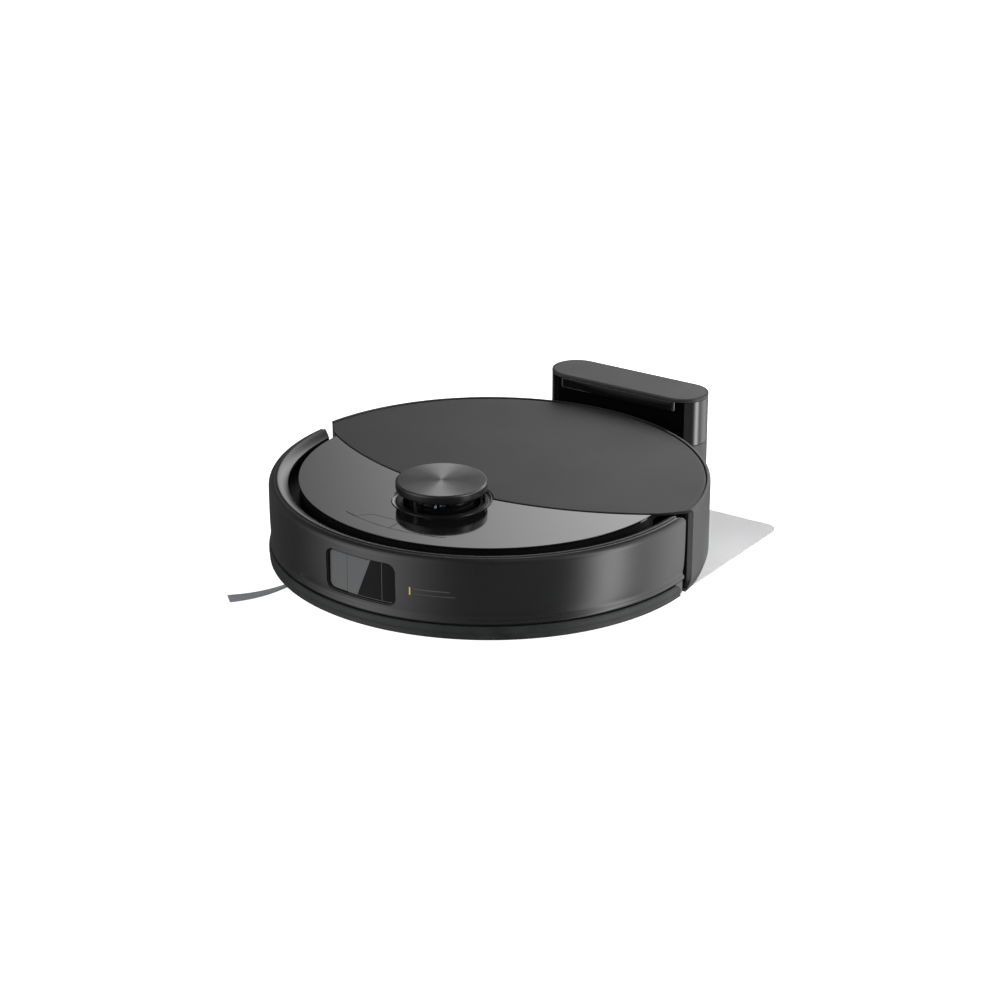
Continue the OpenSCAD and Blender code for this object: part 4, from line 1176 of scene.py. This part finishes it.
def fin(start, side, steps=26):
    """Soft rubber vane that winds round the core on one side of the middle."""
    section = [(10.8, -1.5), (12.5, -1.0), (15.5, -0.75), (18.5, -0.6), (19.7, -0.45),
               (19.95, 0.0),
               (19.7, 0.45), (18.5, 0.6), (15.5, 0.75), (12.5, 1.0), (10.8, 1.5)]
    verts, faces = [], []
    n = len(section)
    for k in range(steps + 1):
        x = side * (0.3 + 69.6 * k / steps)
        a = math.radians(start + 50 * k / steps)
        for r, w in section:
            y = r * math.cos(a) - w * math.sin(a)
            z = r * math.sin(a) + w * math.cos(a)
            verts.append((x, BRUSH_Y + y, BRUSH_Z + z))
    for k in range(steps):
        for m in range(n - 1):
            faces.append((k * n + m, k * n + m + 1, (k + 1) * n + m + 1, (k + 1) * n + m))
    faces += [(k * n, k * n + n - 1, (k + 1) * n + n - 1, (k + 1) * n) for k in range(steps)]
    faces += [tuple(range(n)), tuple(range(steps * n, (steps + 1) * n))]
    return verts, faces


vanes = [fin(60 * k + 10, s) for k in range(6) for s in (-1, 1)]
piece("main_brush_vanes", merge(*vanes), "main_brush", M["red"], "brush_fins",
      sharp=50)


# ---------------------------------------------------------------- dock

def stadium(r, n=28):
    """Outline of the dock's pillar, counter-clockwise from the right front."""
    loop = arc(DOCK_HALF, DOCK_Y, r, -math.pi / 2, math.pi / 2, n)
    loop += arc(-DOCK_HALF, DOCK_Y, r, math.pi / 2, 3 * math.pi / 2, n)
    return loop


RECESS_HALF = 65.5


def pillar(r=DOCK_R, depth=4.4):
    """Stadium with the shallow recess across its front."""
    front = DOCK_Y - DOCK_R
    side_y = DOCK_Y - math.sqrt(r * r - (RECESS_HALF - DOCK_HALF) ** 2)
    start = math.atan2(side_y - DOCK_Y, RECESS_HALF - DOCK_HALF)
    loop = arc(DOCK_HALF, DOCK_Y, r, start, math.pi / 2, 30)
    loop += arc(-DOCK_HALF, DOCK_Y, r, math.pi / 2, math.pi - start, 30)
    back = front + depth + 1.6
    left = [(-RECESS_HALF + 0.5, side_y + 0.6), (-RECESS_HALF + 0.9, back - 0.9),
            (-RECESS_HALF + 1.9, back)]
    return loop + left + [(-x, y) for x, y in reversed(left)]


piece("dock_body_skin", slab(pillar(), 8.0, 53.8, 0.35, 0.2), "dock", M["dock_matte"],
      "dock_body", sharp=42,
      cutters=[solid("inlet_cut", *block(-13.2, 13.2, DOCK_Y + 12, DOCK_Y + 30, 13.8, 30.2))])
piece("dock_upper_skin", slab(pillar(21.9), 54.1, 93.2, 0.2, 0.3), "dock", M["dock_gloss"],
      "dock_upper", sharp=42)
lip = fillet([(-57.0, 193.2, 3.2), (57.0, 193.2, 3.2), (57.0, 199.6, 0.4), (-57.0, 199.6, 0.4)], 8)
piece("dock_lip", slab(lip, 84.2, 93.1, 0.3, 1.6), "dock", M["dock_gloss"], sharp=42)
panel = fillet([(-62.6, 197.4, 1.0), (62.6, 197.4, 1.0), (62.6, 198.9, 0.2), (-62.6, 198.9, 0.2)],
               4)
piece("dock_window_pane", slab(panel, 8.2, 92.8, 0.3, 0.3), "dock", M["window"],
      "dock_window", sharp=42)
top = [(0.6, 93.3), (0.1, 93.5), (0.0, 93.9), (0.0, 95.7), (0.08, 96.0), (0.3, 96.2), (0.6, 96.24),
       (0.8, 96.1), (0.88, 95.6), (1.3, 95.6), (1.38, 96.15), (1.55, 96.28), (1.9, DOCK_TOP)]
piece("dock_cap_plate", loft([(stadium(DOCK_R - d, 40), z) for d, z in top]), "dock",
      M["dock_top"],
      "dock_cap", sharp=50)
base_side = [(104.0, 1.0), (104.3, 3.0), (106.0, 4.0), (129.0, 7.8), (131.5, 8.0), (150.0, 8.0),
             (215.0, 8.0)]


def dock_base_shape():
    """Low ramp in front of the pillar, drawn as rows across its width."""
    rows = []
    for y in [104 + 0.6 * k for k in range(12)] + [112 + 3.0 * k for k in range(35)] + \
            [215 + 22 * math.sin(math.pi / 2 * k / 14) for k in range(15)]:
        if y < 112:
            half = 75.0 - 8 + math.sqrt(max(64 - (112 - y) ** 2, 0))
        elif y <= 215:
            half = 75.0
        else:
            half = DOCK_HALF + math.sqrt(max(DOCK_R ** 2 - (y - DOCK_Y) ** 2, 0))
        z = next((z0 + (z1 - z0) * (y - y0) / (y1 - y0) for (y0, z0), (y1, z1)
                  in zip(base_side, base_side[1:]) if y0 <= y <= y1), 8.0)
        rows.append((y, half, max(z, 1.6)))
    rings = []
    for y, half, z in rows:
        c = min(0.8, z * 0.3)
        rings.append([(-half, y, 1.0), (-half, y, z - c), (-half + c * 0.3, y, z - c * 0.3),
                      (-half + c, y, z), (half - c, y, z), (half - c * 0.3, y, z - c * 0.3),
                      (half, y, z - c), (half, y, 1.0)])
    return tube(rings)


wells = [solid("well", *slab(fillet([(s * 25 - 5.5, 141.5, 2), (s * 25 + 5.5, 141.5, 2),
                                     (s * 25 + 5.5, 158.5, 2), (s * 25 - 5.5, 158.5, 2)], 5), 3.0,
                                     20.0))
         for s in (-1, 1)]
piece("dock_base_ramp", dock_base_shape(), "dock", M["dock_matte"], "dock_base",
      cutters=wells,
      sharp=35)

feet = [rod("z", 6.9, 0.0, 1.4, x, y, 48) for x in (-60, 60) for y in (118, 218)]
piece("dock_feet_pads", merge(*feet), "dock", M["foot"], sharp=50)

mat_outline = fillet([(-MAT_HALF, MAT_FRONT, 12), (MAT_HALF, MAT_FRONT, 12),
                      (MAT_HALF, MAT_BACK, 12), (75.4, MAT_BACK, 0.8), (75.4, 103.6, 2),
                      (-75.4, 103.6, 2), (-75.4, MAT_BACK, 0.8), (-MAT_HALF, MAT_BACK, 12)], 10)
piece("floor_mat_sheet", slab(mat_outline, 0.0, MAT_THICK, 0.35, 0.1), "dock", M["mat"],
      "floor_mat",
      sharp=45)


# ---------------------------------------------------------------- floor, light and camera

def stage_floor(half=30.0, z=-0.0004):
    """Plain white floor that lights itself and takes no part in reflections."""
    mesh = bpy.data.meshes.new("floor")
    corners = [(-half, -half, z), (half, -half, z), (half, half, z), (-half, half, z)]
    mesh.from_pydata(corners, [], [(0, 1, 2, 3)])
    floor = bpy.data.objects.new("floor", mesh)
    bpy.context.scene.collection.objects.link(floor)
    g = Graph("floor_white")
    g.set(Base_Color=(0.9, 0.9, 0.9), Roughness=0.8, Emission_Color=(1.0, 1.0, 1.0),
          Emission_Strength=1.05)
    mesh.materials.append(g.material)
    floor.visible_glossy = False
    floor.visible_diffuse = False


stage_floor()

AMBIENT = 0.06
CARD_STRENGTH = 3.2
# azimuth from -Y, elevation, sharpness, strength, flatness
LOBES = [
    (0.0, 90.0, 1.5, 0.10, 1.0),
    (-30.0, 4.0, 8.0, 2.4, 0.45),
    (138.0, 6.0, 9.0, 2.4, 0.45),
    (99.0, -4.0, 60.0, 7.0, 0.15),
    (165.0, -14.0, 8.0, 0.45, 1.0),
    (-100.0, 12.0, 6.0, 0.15, 1.0),
    (50.0, -14.0, 4.0, 0.25, 1.0),
]
# direction, and where along it the card's edge starts and ends
CARD_EDGES = [
    ((0.819, 0.574, 0.0), -0.128, 0.16),
    ((-0.94, 0.342, 0.0), -0.15, 0.2),
    ((0.0, 0.0, 1.0), 0.10, 0.33),
    ((0.0, 0.0, -1.0), -0.53, -0.41),
]


def sky():
    """Dark room with soft lobes of light and one wide card behind the robot."""
    world_data = bpy.data.worlds.new("studio")
    bpy.context.scene.world = world_data
    world_data.use_nodes = True
    tree = world_data.node_tree
    coords = tree.nodes.new("ShaderNodeTexCoord").outputs["Generated"]

    def node(kind, operation, *inputs):
        made = tree.nodes.new(kind)
        made.operation = operation
        for socket, value in zip(made.inputs, inputs):
            if isinstance(value, bpy.types.NodeSocket):
                tree.links.new(value, socket)
            else:
                socket.default_value = value
        return made.outputs["Value" if operation == "DOT_PRODUCT" else 0]

    number, vector = "ShaderNodeMath", "ShaderNodeVectorMath"
    total = AMBIENT
    for azimuth, elevation, sharp, strength, flatness in LOBES:
        az, el = math.radians(azimuth), math.radians(elevation)
        direction = Vector((math.sin(az) * math.cos(el), -math.cos(az) * math.cos(el),
                            math.sin(el) * flatness)).normalized()
        squeezed = node(vector, "MULTIPLY", coords, (1.0, 1.0, flatness))
        facing_it = node(vector, "DOT_PRODUCT", node(vector, "NORMALIZE", squeezed), direction)
        lobe = node(number, "POWER", node(number, "MAXIMUM", facing_it, 0.0), sharp)
        total = node(number, "MULTIPLY_ADD", lobe, strength, total)
    card = CARD_STRENGTH
    for direction, low, high in CARD_EDGES:
        ramp = tree.nodes.new("ShaderNodeMapRange")
        ramp.interpolation_type = "SMOOTHSTEP"
        tree.links.new(node(vector, "DOT_PRODUCT", coords, direction), ramp.inputs["Value"])
        ramp.inputs["From Min"].default_value = low
        ramp.inputs["From Max"].default_value = high
        card = node(number, "MULTIPLY", ramp.outputs["Result"], card)
    back = tree.nodes["Background"]
    tree.links.new(node(number, "ADD", total, card), back.inputs["Strength"])
    back.inputs["Color"].default_value = (1, 1, 1, 1)


sky()


def area_light(name, place, target, size, power):
    data = bpy.data.lights.new(name, "AREA")
    data.shape = "RECTANGLE"
    data.size, data.size_y = size
    data.energy = power
    ob = bpy.data.objects.new(name, data)
    ob.location = place
    ob.rotation_euler = (Vector(target) - Vector(place)).to_track_quat("-Z", "Y").to_euler()
    bpy.context.scene.collection.objects.link(ob)


area_light("top", (0.5, 0.3, 1.9), (0.1, 0.0, 0.0), (1.2, 1.2), 1.6)

scene = bpy.context.scene
camera_data = bpy.data.cameras.new("camera")
camera = bpy.data.objects.new("camera", camera_data)
scene.collection.objects.link(camera)
camera.location = (1.1404, -1.6807 + AXIS_Y, 0.8853)
look = Vector((0.0, AXIS_Y, 0.040)) - camera.location
camera.rotation_euler = look.to_track_quat("-Z", "Y").to_euler()
camera_data.lens = 98.0
camera_data.sensor_width = 36.0
camera_data.shift_x = 0.0108
camera_data.shift_y = 0.0191
camera_data.clip_end = 100.0
camera_data.dof.use_dof = False
scene.camera = camera
scene.view_settings.view_transform = "Standard"
scene.view_settings.look = "None"
